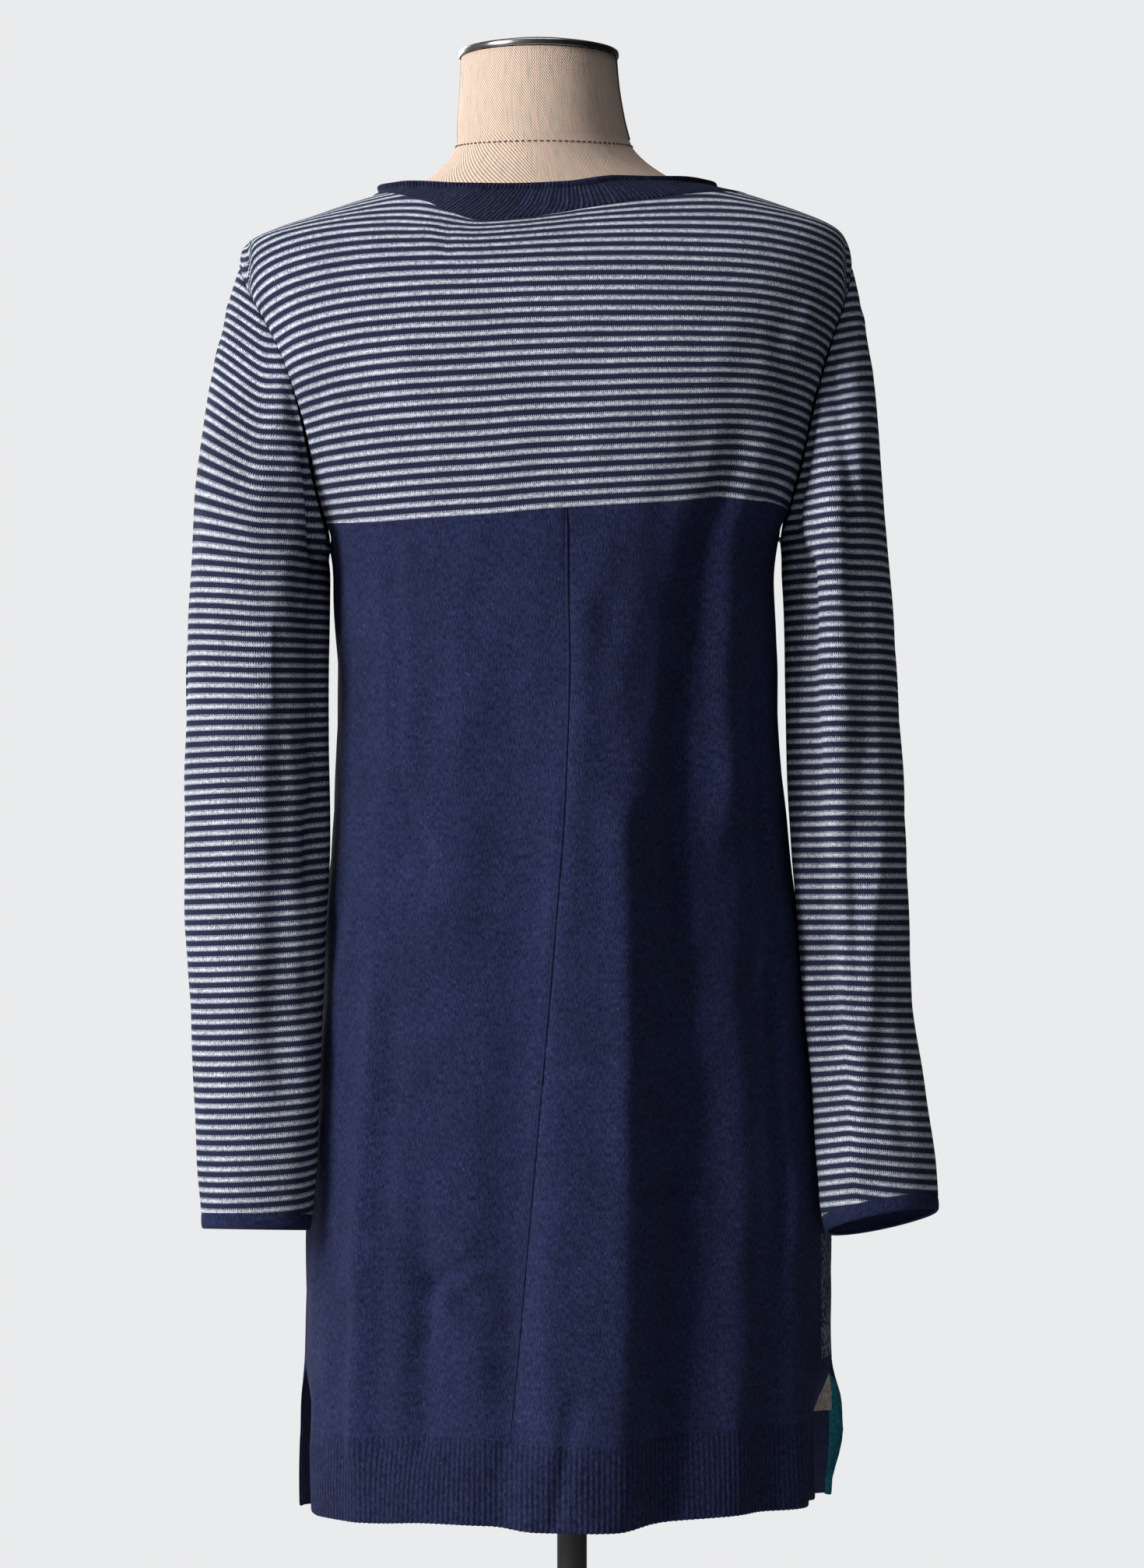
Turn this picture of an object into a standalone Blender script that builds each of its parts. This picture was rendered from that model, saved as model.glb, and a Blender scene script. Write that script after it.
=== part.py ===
# A fine-knit sweater dress worn by a limbless dress form on a pole and a round base.
# Metres, +Z up, the front of the dress faces -Y and the wearer's left is +X.
# The origin is the middle of the base's underside, on the floor, under the pole.
import math

import bmesh
import bpy
import numpy as np

WALL = 0.0020               # thickness of the knitted cloth
SEAM_GAP = 0.0003           # room between two pieces along a seam
FORM_CLEARANCE = 0.0004     # room between the cloth and the form where it rests
FACET_ROOM = 0.0015         # the same over the shoulders' narrow ridge, where both are faceted
SQUARENESS = 2.2            # 2 is an ellipse, more is a flatter back and front
RIB_HEIGHT = 0.0007         # how far a rib of the hem stands out
RIBS_PER_COLUMN = 4
ROLL = 0.0016               # how far the rolled edge of the neckband stands out
CUFF_BAND = 0.0100          # plain band at the end of a sleeve
RIB_BAND = 0.0540           # ribbed band at the hem
SLIT_TOP = 0.6400           # height where the side slits begin
SLIT_LENGTH_TO_FULL = 0.040
ARMHOLE_BLEND = 0.085       # length over which a sleeve leaves the shape of its armhole
FOLD_TOP = 1.15             # heights between which a fold's place is read
FOLD_LOW = 0.60

POLE_RADIUS = 0.0097
BASE_RADIUS = 0.1650
BASE_THICKNESS = 0.0140
HUB_RADIUS = 0.0220
HUB_TOP = 0.0520
FORM_BOTTOM = 0.7350
FORM_SEAM = 1.4317          # seam between the neck and the shoulders of the form
NECK_TOP = 1.4880


def table(columns, rows):
    """Rows of a table as one array a column, in rising order of the first."""
    rows = np.array(sorted(rows), float)
    return {name: rows[:, i] for i, name in enumerate(columns)}


# The dress's outer surface without folds: a section at each height.
BODY = table(
    ("height", "centre_x", "half_width", "back_depth", "front_depth"),
    (
        (1.4100, 0.0165, 0.0960, 0.0530, 0.0500),
        (1.4040, 0.0160, 0.1040, 0.0575, 0.0550),
        (1.4015, 0.0150, 0.1085, 0.0595, 0.0575),
        (1.3980, 0.0105, 0.1165, 0.0620, 0.0605),
        (1.3940, 0.0055, 0.1285, 0.0645, 0.0640),
        (1.3899, 0.0058, 0.1415, 0.0675, 0.0680),
        (1.3818, 0.0062, 0.1645, 0.0730, 0.0755),
        (1.3736, 0.0102, 0.1850, 0.0785, 0.0830),
        (1.3654, 0.0158, 0.1964, 0.0837, 0.0900),
        (1.3573, 0.0172, 0.2002, 0.0880, 0.0945),
        (1.3400, 0.0170, 0.2015, 0.0945, 0.1030),
        (1.3000, 0.0160, 0.1960, 0.1040, 0.1140),
        (1.2600, 0.0155, 0.1860, 0.1095, 0.1210),
        (1.2140, 0.0135, 0.1680, 0.1110, 0.1240),
        (1.1900, 0.0125, 0.1565, 0.1105, 0.1240),
        (1.1680, 0.0120, 0.1470, 0.1095, 0.1230),
        (1.1400, 0.0118, 0.1441, 0.1080, 0.1215),
        (1.0800, 0.0095, 0.1438, 0.1062, 0.1190),
        (1.0200, 0.0087, 0.1459, 0.1070, 0.1200),
        (0.9200, 0.0066, 0.1545, 0.1120, 0.1240),
        (0.8200, 0.0046, 0.1632, 0.1170, 0.1270),
        (0.7140, 0.0024, 0.1712, 0.1215, 0.1290),
        (0.6600, 0.0022, 0.1712, 0.1235, 0.1295),
        (0.6200, 0.0020, 0.1728, 0.1250, 0.1300),
        (0.5400, 0.0020, 0.1732, 0.1275, 0.1300),
        (0.5000, 0.0020, 0.1732, 0.1280, 0.1300),
    ),
)

# Heights of the seams and edges by the angle round the body, from the wearer's left by the back.
YOKE_LINE = table(
    ("angle", "height"),
    (
        (0, 1.1810), (45, 1.1765), (75, 1.1785), (90, 1.1820), (115, 1.1870), (135, 1.1915),
        (150, 1.1910), (180, 1.1870), (225, 1.1850), (270, 1.1810), (315, 1.1800), (360, 1.1810),
    ),
)
NECK_SEAM = table(
    ("angle", "height"),
    (
        (0, 1.3955), (25, 1.3945), (45, 1.3900), (58, 1.3845), (70, 1.3755), (79, 1.3695),
        (86, 1.3715), (95, 1.3785), (107, 1.3845), (128, 1.3910), (150, 1.3945), (180, 1.3955),
        (210, 1.3930), (240, 1.3835), (270, 1.3690), (300, 1.3835), (330, 1.3930), (360, 1.3955),
    ),
)
NECK_EDGE = table(
    ("angle", "height"),
    (
        (0, 1.4015), (30, 1.4012), (60, 1.3970), (75, 1.3948), (90, 1.3968), (110, 1.4008),
        (135, 1.4012), (160, 1.4018), (180, 1.4020), (210, 1.4000), (240, 1.3930), (270, 1.3850),
        (300, 1.3930), (330, 1.3998), (360, 1.4015),
    ),
)
HEM_EDGE = table(
    ("angle", "height"),
    (
        (0, 0.5395), (45, 0.5408), (62, 0.5432), (75, 0.5425), (85, 0.5395), (98, 0.5392),
        (106, 0.5425), (118, 0.5455), (140, 0.5472), (180, 0.5465), (225, 0.5340), (270, 0.5290),
        (315, 0.5320), (360, 0.5395),
    ),
)
# Where the centre-back seam runs, and the middle of the front.
CENTRE_BACK = table(("height", "angle"), ((0.50, 77.0), (0.60, 79.5), (1.15, 92.6), (1.40, 90.0)))

# Soft folds of the body: depth is out of the cloth, a minus sign is a trough.
BODY_FOLDS = table(
    ("order", "top_angle", "low_angle", "top_width", "low_width", "top_depth", "low_depth",
     "upper_end", "upper_fade", "lower_end", "lower_fade"),
    (
        (1, 92.6, 79.5, 0.009, 0.011, -0.0016, -0.0030, 1.185, 0.030, 0.50, 0.020),
        (2, 106.0, 96.0, 0.020, 0.030, 0.0045, 0.0095, 1.200, 0.090, 0.50, 0.020),
        (3, 129.2, 110.5, 0.010, 0.021, -0.0060, -0.0140, 1.265, 0.060, 0.50, 0.020),
        (4, 140.5, 126.0, 0.017, 0.026, 0.0045, 0.0070, 1.275, 0.080, 0.50, 0.020),
        (5, 44.0, 42.0, 0.012, 0.014, 0.0016, 0.0030, 1.170, 0.060, 0.50, 0.020),
        (6, 60.0, 60.2, 0.020, 0.024, -0.0010, -0.0045, 0.860, 0.160, 0.55, 0.050),
        (7, 154.0, 138.0, 0.012, 0.016, -0.0010, -0.0035, 1.120, 0.100, 0.50, 0.020),
        (8, 205.0, 212.0, 0.016, 0.024, 0.0020, 0.0060, 1.120, 0.160, 0.50, 0.020),
        (9, 226.0, 231.0, 0.016, 0.022, -0.0030, -0.0095, 1.130, 0.160, 0.50, 0.020),
        (10, 246.0, 250.0, 0.020, 0.026, 0.0020, 0.0060, 1.090, 0.200, 0.50, 0.020),
        (11, 281.0, 274.0, 0.018, 0.024, -0.0020, -0.0070, 1.080, 0.200, 0.50, 0.020),
        (12, 304.0, 297.0, 0.018, 0.028, 0.0030, 0.0080, 1.120, 0.180, 0.50, 0.020),
        (13, 322.0, 318.0, 0.014, 0.020, -0.0025, -0.0080, 1.120, 0.180, 0.50, 0.020),
    ),
)

# A sleeve's sections: centre, half width across and half depth front to back at each height.
SLEEVE_LEFT = table(
    ("height", "centre_x", "centre_y", "half_width", "half_depth"),
    (
        (1.3600, 0.1930, 0.0000, 0.0240, 0.0300),
        (1.3256, 0.1965, 0.0030, 0.0300, 0.0460),
        (1.3000, 0.1980, 0.0060, 0.0335, 0.0530),
        (1.2490, 0.2010, 0.0100, 0.0390, 0.0570),
        (1.1980, 0.2022, 0.0140, 0.0440, 0.0560),
        (1.1470, 0.2030, 0.0180, 0.0450, 0.0520),
        (1.0710, 0.2042, 0.0250, 0.0465, 0.0460),
        (1.0200, 0.2040, 0.0290, 0.0470, 0.0430),
        (0.9690, 0.2035, 0.0330, 0.0475, 0.0400),
        (0.9180, 0.2040, 0.0370, 0.0455, 0.0370),
        (0.8670, 0.2040, 0.0410, 0.0425, 0.0350),
        (0.8160, 0.2030, 0.0460, 0.0405, 0.0330),
        (0.7660, 0.2025, 0.0500, 0.0385, 0.0300),
        (0.7400, 0.2025, 0.0510, 0.0360, 0.0275),
        (0.7200, 0.2030, 0.0520, 0.0345, 0.0265),
        (0.7000, 0.2030, 0.0520, 0.0340, 0.0260),
    ),
)
SLEEVE_RIGHT = table(
    ("height", "centre_x", "centre_y", "half_width", "half_depth"),
    (
        (1.3600, -0.1610, 0.0000, 0.0230, 0.0300),
        (1.3256, -0.1650, 0.0030, 0.0255, 0.0460),
        (1.3000, -0.1665, 0.0060, 0.0280, 0.0540),
        (1.2490, -0.1680, 0.0100, 0.0315, 0.0600),
        (1.1980, -0.1692, 0.0140, 0.0338, 0.0610),
        (1.1470, -0.1724, 0.0180, 0.0344, 0.0580),
        (1.0710, -0.1750, 0.0240, 0.0368, 0.0540),
        (1.0200, -0.1768, 0.0280, 0.0378, 0.0520),
        (0.9690, -0.1790, 0.0320, 0.0375, 0.0490),
        (0.9180, -0.1815, 0.0360, 0.0360, 0.0460),
        (0.8670, -0.1850, 0.0400, 0.0350, 0.0430),
        (0.8160, -0.1905, 0.0470, 0.0362, 0.0390),
        (0.7660, -0.1953, 0.0560, 0.0380, 0.0350),
        (0.7400, -0.1968, 0.0580, 0.0380, 0.0320),
        (0.7200, -0.1980, 0.0590, 0.0355, 0.0290),
        (0.7000, -0.1980, 0.0590, 0.0350, 0.0285),
    ),
)
# Folds of the sleeves: 0 degrees is the outer side, 90 the back, 180 beside the body.
SLEEVE_LEFT_FOLDS = table(
    ("order", "top_angle", "low_angle", "top_width", "low_width", "top_depth", "low_depth",
     "upper_end", "upper_fade", "lower_end", "lower_fade"),
    (
        (1, 104.0, 122.0, 0.010, 0.013, -0.0060, -0.0050, 1.285, 0.050, 0.765, 0.090),
        (2, 140.0, 150.0, 0.012, 0.012, 0.0015, 0.0025, 1.150, 0.100, 0.760, 0.080),
        (3, 255.0, 250.0, 0.014, 0.014, -0.0050, -0.0050, 1.260, 0.090, 0.780, 0.100),
        (4, 74.0, 70.0, 0.016, 0.014, 0.0015, 0.0020, 1.200, 0.150, 0.760, 0.080),
    ),
)
SLEEVE_RIGHT_FOLDS = table(
    ("order", "top_angle", "low_angle", "top_width", "low_width", "top_depth", "low_depth",
     "upper_end", "upper_fade", "lower_end", "lower_fade"),
    (
        (1, 96.0, 104.0, 0.010, 0.014, 0.0030, 0.0010, 1.300, 0.080, 0.900, 0.200),
        (2, 72.0, 66.0, 0.009, 0.011, -0.0030, -0.0040, 1.290, 0.080, 0.760, 0.090),
        (3, 130.0, 136.0, 0.012, 0.014, -0.0030, -0.0050, 1.200, 0.060, 0.760, 0.090),
        (4, 250.0, 262.0, 0.014, 0.014, -0.0045, -0.0050, 1.260, 0.090, 0.780, 0.100),
    ),
)
# Each side's own sizes: the sign of X, how far its armhole cuts into the back and the front.
SIDES = {
    "left": {"sign": 1, "back_cut": 30.0, "front_cut": 32.0},
    "right": {"sign": -1, "back_cut": 22.0, "front_cut": 30.0},
}
# Rows of a panel as parts of its height. The armhole's ends lie on rows of their own.
YOKE_FRACTIONS = (0, 0.10, 0.20, 0.30, 0.40, 0.50, 0.60, 0.70, 0.79, 0.86, 0.92, 0.965, 1)
SHOULDER_ROW = 8
SKIRT_FRACTIONS = (0, 0.05, 0.11, 0.18, 0.26, 0.34, 0.42, 0.51, 0.60, 0.69, 0.78, 0.87, 0.975, 1)
UNDERARM_ROW = 12
LEFT_COLUMNS = 11
RIGHT_COLUMNS = 16
FRONT_COLUMNS = 24
SLEEVE_RINGS = 22

# The form below the neck: how far it stays inside the cloth beyond its clearance.
FORM_SLACK = table(
    ("height", "side", "back", "front"),
    (
        (1.4000, 0.0000, 0.0000, 0.0000), (1.3600, 0.0000, 0.0000, 0.0000),
        (1.3400, 0.0050, 0.0000, 0.0000), (1.3000, 0.0170, 0.0000, 0.0005),
        (1.2600, 0.0220, 0.0000, 0.0010), (1.2100, 0.0180, 0.0010, 0.0005),
        (1.1680, 0.0120, 0.0030, 0.0010), (1.1000, 0.0180, 0.0140, 0.0120),
        (1.0200, 0.0280, 0.0230, 0.0260), (0.9500, 0.0240, 0.0230, 0.0270),
        (0.8500, 0.0160, 0.0210, 0.0250), (0.7350, 0.0240, 0.0270, 0.0320),
    ),
)
FORM_NECK = table(
    ("height", "centre_x", "centre_y", "half_width", "half_depth"),
    (
        (1.4317, 0.0185, -0.0010, 0.0568, 0.0545),
        (1.4480, 0.0205, -0.0015, 0.0548, 0.0540),
        (1.4700, 0.0215, -0.0035, 0.0523, 0.0525),
        (1.4880, 0.0219, -0.0055, 0.0512, 0.0515),
    ),
)


def smooth(rows, name, at):
    """The column of a table at any height: a curve through its rows that never overshoots."""
    names = list(rows)
    places = rows[names[0]]
    values = rows[name]
    at = np.clip(np.asarray(at, float), places[0], places[-1])
    steps = np.diff(places)
    rises = np.diff(values) / steps
    before = np.concatenate([rises[:1], rises])
    after = np.concatenate([rises, rises[-1:]])
    product = before * after
    total = np.where(before + after == 0, 1, before + after)
    slopes = np.where(product > 0, 2 * product / total, 0)
    i = np.clip(np.searchsorted(places, at, side="right") - 1, 0, len(steps) - 1)
    t = (at - places[i]) / steps[i]
    start = values[i] * (1 + 2 * t) * (1 - t) ** 2 + slopes[i] * steps[i] * t * (1 - t) ** 2
    end = values[i + 1] * t * t * (3 - 2 * t) - slopes[i + 1] * steps[i] * t * t * (1 - t)
    return start + end


def ease(t):
    """0 below 0, 1 above 1 and a soft step between."""
    t = np.clip(t, 0, 1)
    return t * t * (3 - 2 * t)


def unit(vectors):
    length = np.linalg.norm(vectors, axis=-1, keepdims=True)
    return vectors / np.maximum(length, 1e-12)


def superellipse(angle, half_width, half_depth, power):
    turn = np.radians(angle)
    x = half_width * np.sign(np.cos(turn)) * np.abs(np.cos(turn)) ** power
    y = half_depth * np.sign(np.sin(turn)) * np.abs(np.sin(turn)) ** power
    return x, y


def body_base(angle, height):
    """A point of the dress's body before its folds."""
    angle = np.asarray(angle, float)
    height = np.asarray(height, float)
    behind = np.sin(np.radians(angle)) >= 0
    depth = np.where(behind, smooth(BODY, "back_depth", height), smooth(BODY, "front_depth", height))
    x, y = superellipse(angle, smooth(BODY, "half_width", height), depth, 2 / SQUARENESS)
    return np.stack([x + smooth(BODY, "centre_x", height), y, height + 0 * x], -1)


def surface_normal(surface, angle, height, turn=0.4, rise=0.0008):
    """Outward direction of a surface given by angle and height."""
    round_it = surface(angle + turn, height) - surface(angle - turn, height)
    up_it = surface(angle, height + rise) - surface(angle, height - rise)
    return unit(np.cross(round_it, up_it))


def fold_depth(folds, angle, height, radius):
    """How far the folds move a point out of the cloth."""
    along = (height - FOLD_LOW) / (FOLD_TOP - FOLD_LOW)
    held = np.clip(along, 0, 1)
    moved = 0 * angle * height
    for i in range(len(folds["order"])):
        fold = {name: column[i] for name, column in folds.items()}
        place = fold["low_angle"] + (fold["top_angle"] - fold["low_angle"]) * np.clip(along, -0.2, 1.2)
        width = fold["low_width"] + (fold["top_width"] - fold["low_width"]) * held
        depth = fold["low_depth"] + (fold["top_depth"] - fold["low_depth"]) * held
        away = np.radians((angle - place + 180) % 360 - 180) * radius
        upper = ease((fold["upper_end"] - height) / fold["upper_fade"])
        lower = ease((height - fold["lower_end"]) / fold["lower_fade"])
        moved = moved + depth * upper * lower * np.exp(-((away / width) ** 2))
    return moved


def slit_share(height):
    """0 above the side slits and 1 where they stand fully open."""
    return ease((SLIT_TOP - height) / SLIT_LENGTH_TO_FULL)


def slit_move(angle, height):
    """The back panel's edges turn in at a slit and the front panel's turn out."""
    angle = np.asarray(angle, float) % 360
    from_side = np.radians(np.minimum(np.minimum(angle, 360 - angle), np.abs(angle - 180))) * 0.15
    near = np.exp(-((from_side / 0.030) ** 2))
    behind = np.sin(np.radians(angle)) > 0
    inward = np.where(np.cos(np.radians(angle)) > 0, -0.0100, -0.0165)
    return slit_share(height) * near * np.where(behind, inward, 0.0030)


def body_point(angle, height):
    """A point on the dress's outer surface."""
    angle = np.asarray(angle, float)
    height = np.asarray(height, float)
    radius = (smooth(BODY, "half_width", height) + smooth(BODY, "back_depth", height)) / 2
    moved = fold_depth(BODY_FOLDS, angle, height, radius) + slit_move(angle, height)
    normal = surface_normal(body_base, angle, height)
    return body_base(angle, height) + normal * moved[..., None]


def armhole_heights(side):
    """Heights of the underarm and of the shoulder's end on one side."""
    start = 0.0 if side == "left" else 180.0
    yoke = smooth(YOKE_LINE, "height", start)
    low = smooth(HEM_EDGE, "height", start) + RIB_BAND
    underarm = low + SKIRT_FRACTIONS[UNDERARM_ROW] * (yoke - low)
    top = yoke + YOKE_FRACTIONS[SHOULDER_ROW] * (smooth(NECK_SEAM, "height", start) - yoke)
    return float(underarm), float(top)


def armhole_cut(side, behind, height):
    """Angle by which the armhole cuts in from the side at a height."""
    underarm, top = armhole_heights(side)
    t = np.clip((np.asarray(height, float) - underarm - 0.0004) / (top - underarm - 0.0008), 0, 1)
    cut = SIDES[side]["back_cut"] if behind else SIDES[side]["front_cut"]
    return cut * np.maximum(np.sin(math.pi * t), 0) ** 0.6


def edge_angle(side, behind, height, gap=SEAM_GAP):
    """Angle of a panel's side edge, half a gap inside the seam, and more at a slit."""
    height = np.asarray(height, float)
    cut = armhole_cut(side, behind, height)
    half = gap / 2 + slit_share(height) * 0.0022
    cut = cut + np.degrees(half / 0.11)
    if side == "left":
        return cut if behind else 360 - cut
    return 180 - cut if behind else 180 + cut


def column_angles(edges, counts, height):
    """Angles of a panel's columns at one height a column, spread between its edge curves."""
    parts = []
    for first, last, count in zip(edges[:-1], edges[1:], counts):
        t = np.arange(count) / count
        parts.append((first, last, t))
    angles = []
    k = 0
    for first, last, t in parts:
        z = height[k:k + len(t)]
        angles.append(first(z) + (last(z) - first(z)) * t)
        k += len(t)
    angles.append(np.atleast_1d(edges[-1](height[k:k + 1])))
    return np.concatenate(angles)


def panel_grid(edges, counts, bottom, top, fractions):
    """Angles and heights of a panel's grid, a row for each fraction of its height."""
    columns = sum(counts) + 1
    low = np.full(columns, 0.8)
    high = np.full(columns, 1.3)
    for _ in range(12):
        low = bottom(column_angles(edges, counts, low))
        high = top(column_angles(edges, counts, high))
    heights = np.array([low + (high - low) * f for f in fractions])
    angles = np.array([column_angles(edges, counts, row) for row in heights])
    return angles, heights


def make_object(name, points, faces, colour, roughness, metallic, round_angle=None):
    mesh = bpy.data.meshes.new(name)
    mesh.from_pydata([tuple(map(float, p)) for p in points], [], [tuple(map(int, f)) for f in faces])
    build = bmesh.new()
    build.from_mesh(mesh)
    bmesh.ops.recalc_face_normals(build, faces=build.faces)
    build.to_mesh(mesh)
    build.free()
    obj = bpy.data.objects.new(name, mesh)
    bpy.context.scene.collection.objects.link(obj)
    material = bpy.data.materials.new(name)
    material.use_nodes = True
    shader = material.node_tree.nodes["Principled BSDF"]
    shader.inputs["Base Color"].default_value = (*colour, 1)
    shader.inputs["Roughness"].default_value = roughness
    shader.inputs["Metallic"].default_value = metallic
    mesh.materials.append(material)
    if round_angle is not None:
        mesh.shade_smooth()
        mesh.set_sharp_from_angle(angle=math.radians(round_angle))
    return obj


def wall_solid(name, outer, inner, ring, colour, roughness=0.9, metallic=0.0):
    """A closed wall between an outer and an inner grid of points. The outer grid may have more columns."""
    rows, out_columns = outer.shape[:2]
    in_columns = inner.shape[1]
    out_cells = out_columns if ring else out_columns - 1
    in_cells = in_columns if ring else in_columns - 1
    ratio = out_cells // in_cells
    points = np.concatenate([outer.reshape(-1, 3), inner.reshape(-1, 3)])
    shift = rows * out_columns

    def out(r, c):
        return r * out_columns + c % out_columns

    def inn(r, c):
        return shift + r * in_columns + c % in_columns

    faces = []
    for r in range(rows - 1):
        for c in range(out_cells):
            a, b, d, e = out(r, c), out(r, c + 1), out(r + 1, c + 1), out(r + 1, c)
            faces += [(a, b, d), (a, d, e)]
        for c in range(in_cells):
            a, b, d, e = inn(r, c), inn(r, c + 1), inn(r + 1, c + 1), inn(r + 1, c)
            faces += [(a, d, b), (a, e, d)]
    for r, turn in ((0, 1), (rows - 1, -1)):
        for c in range(in_cells):
            first = c * ratio
            half = first + (ratio + 1) // 2
            for k in range(first, first + ratio):
                corner = inn(r, c) if k < half else inn(r, c + 1)
                faces.append((corner, out(r, k + 1), out(r, k))[::turn])
            faces.append((inn(r, c), inn(r, c + 1), out(r, half))[::turn])
    if not ring:
        for r in range(rows - 1):
            for o, i, turn in ((0, 0, 1), (out_columns - 1, in_columns - 1, -1)):
                a, b, d, e = out(r, o), out(r + 1, o), inn(r + 1, i), inn(r, i)
                faces += [(a, b, d)[::turn], (a, d, e)[::turn]]
    return make_object(name, points, faces, colour, roughness, metallic, 50)


def body_wall(name, angles, heights, colour, raise_rows=None, ribs=0):
    """A panel of the dress as a wall, its inside a wall's thickness in from its outside."""
    plain = body_point(angles, heights)
    normal = surface_normal(body_base, angles, heights)
    tilt = surface_normal(body_point, angles, heights, turn=1.2, rise=0.004)
    inward = unit(normal * 0.35 + tilt * 0.65)
    inner = plain - inward * WALL
    outer = plain
    if raise_rows is not None:
        outer = plain + normal * np.asarray(raise_rows)[:, None, None]
    if ribs:
        count = angles.shape[1] - 1
        place = np.arange(count * 2 * ribs + 1) / (2 * ribs)
        fine = np.array([np.interp(place, np.arange(count + 1), row) for row in angles])
        fine_heights = np.array([np.interp(place, np.arange(count + 1), row) for row in heights])
        outer = body_point(fine, fine_heights)
        stand = np.where(np.arange(len(place)) % 2 == 1, RIB_HEIGHT, 0.0)
        outer = outer + surface_normal(body_base, fine, fine_heights) * stand[None, :, None]
    return wall_solid(name, outer, inner, False, colour)


def yoke_bottom(angle):
    return smooth(YOKE_LINE, "height", angle)


def rib_top(angle):
    return smooth(HEM_EDGE, "height", angle) + RIB_BAND


def hem_edge(angle):
    return smooth(HEM_EDGE, "height", angle)


def neck_seam(angle):
    return smooth(NECK_SEAM, "height", angle)


def neck_edge(angle):
    return smooth(NECK_EDGE, "height", angle)


def centre_back(height):
    return smooth(CENTRE_BACK, "angle", height)


def shifted(line, amount):
    return lambda angle: line(angle) + amount


def back_left_edge(height):
    return edge_angle("left", True, height)


def back_right_edge(height):
    return edge_angle("right", True, height)


def front_right_edge(height):
    return edge_angle("right", False, height)


def front_left_edge(height):
    return edge_angle("left", False, height)


def front_middle(height):
    return 270.0 + 0 * np.asarray(height, float)


BACK_EDGES = (back_left_edge, centre_back, back_right_edge)
BACK_COUNTS = (LEFT_COLUMNS, RIGHT_COLUMNS)
FRONT_EDGES = (front_right_edge, front_middle, front_left_edge)
FRONT_COUNTS = (FRONT_COLUMNS // 2, FRONT_COLUMNS // 2)
NAVY = (0.020, 0.026, 0.070)
STRIPE = (0.230, 0.235, 0.320)
BAND = (0.022, 0.026, 0.052)
LINEN = (0.760, 0.620, 0.500)


def make_body():
    half = SEAM_GAP / 2
    for name, edges, counts in (
        ("back_yoke", BACK_EDGES, BACK_COUNTS),
        ("front_yoke", FRONT_EDGES, FRONT_COUNTS),
    ):
        angles, heights = panel_grid(
            edges, counts, shifted(yoke_bottom, half), shifted(neck_seam, -half), YOKE_FRACTIONS
        )
        body_wall(name, angles, heights, STRIPE)

    angles, heights = panel_grid(
        BACK_EDGES, BACK_COUNTS, shifted(rib_top, half), shifted(yoke_bottom, -half), SKIRT_FRACTIONS
    )
    split = LEFT_COLUMNS
    turn = np.degrees(half / 0.12)
    left, right = angles[:, :split + 1].copy(), angles[:, split:].copy()
    left[:, -1] -= turn
    right[:, 0] += turn
    body_wall("back_left", left, heights[:, :split + 1], NAVY)
    body_wall("back_right", right, heights[:, split:], NAVY)

    angles, heights = panel_grid(
        FRONT_EDGES, FRONT_COUNTS, shifted(rib_top, half), shifted(yoke_bottom, -half), SKIRT_FRACTIONS
    )
    body_wall("front_panel", angles, heights, NAVY)

    for name, edges, counts in (
        ("back_hem_rib", BACK_EDGES, BACK_COUNTS),
        ("front_hem_rib", FRONT_EDGES, FRONT_COUNTS),
    ):
        angles, heights = panel_grid(edges, counts, hem_edge, shifted(rib_top, -half), (0, 1))
        body_wall(name, angles, heights, NAVY, ribs=RIBS_PER_COLUMN)


def make_neckband():
    """A ring round the neck opening whose upper edge rolls outwards."""
    fractions = (0, 0.45, 0.72, 0.88, 1)
    rolls = (0, 0.0003, ROLL, ROLL * 1.1, 0.0004)
    spans = []
    for edges, counts in ((BACK_EDGES, BACK_COUNTS), (FRONT_EDGES, FRONT_COUNTS)):
        angles, _ = panel_grid(edges, counts, yoke_bottom, neck_seam, (0, 1))
        spans.append(angles[1, :-1] if len(spans) == 0 else angles[1, :-1])
    angle = np.concatenate(spans)
    low = neck_seam(angle) + SEAM_GAP / 2
    high = neck_edge(angle)
    heights = np.array([low + (high - low) * f for f in fractions])
    angles = np.array([angle] * len(fractions))
    plain = body_point(angles, heights)
    normal = surface_normal(body_base, angles, heights)
    outer = plain + normal * np.array(rolls)[:, None, None]
    wall_solid("neckband", outer, plain - normal * WALL, True, BAND)


def sleeve_section(rows, sign, angle, height):
    """A point of the hanging sleeve, at an angle from its outer side by the back."""
    x, y = superellipse(angle, smooth(rows, "half_width", height), smooth(rows, "half_depth", height), 1)
    x = sign * x + smooth(rows, "centre_x", height)
    return np.stack([x, y + smooth(rows, "centre_y", height), height + 0 * x], -1)


def armhole_ring(side, count_side):
    """Angles and heights of the armhole's points: from the shoulder by the back to the underarm and up the front."""
    start = 0.0 if side == "left" else 180.0
    yoke = float(smooth(YOKE_LINE, "height", start))
    neck = float(smooth(NECK_SEAM, "height", start))
    underarm, _ = armhole_heights(side)
    levels = [yoke + f * (neck - yoke) for f in YOKE_FRACTIONS[:SHOULDER_ROW + 1]][::-1]
    levels = levels + [underarm]
    heights = np.array(levels + levels[-2:0:-1])
    behind = np.arange(len(heights)) < len(levels)
    cut = np.where(behind, armhole_cut(side, True, heights), armhole_cut(side, False, heights))
    if side == "left":
        angles = np.where(behind, cut, 360 - cut)
    else:
        angles = np.where(behind, 180 - cut, 180 + cut)
    return angles, heights, len(levels)


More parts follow.
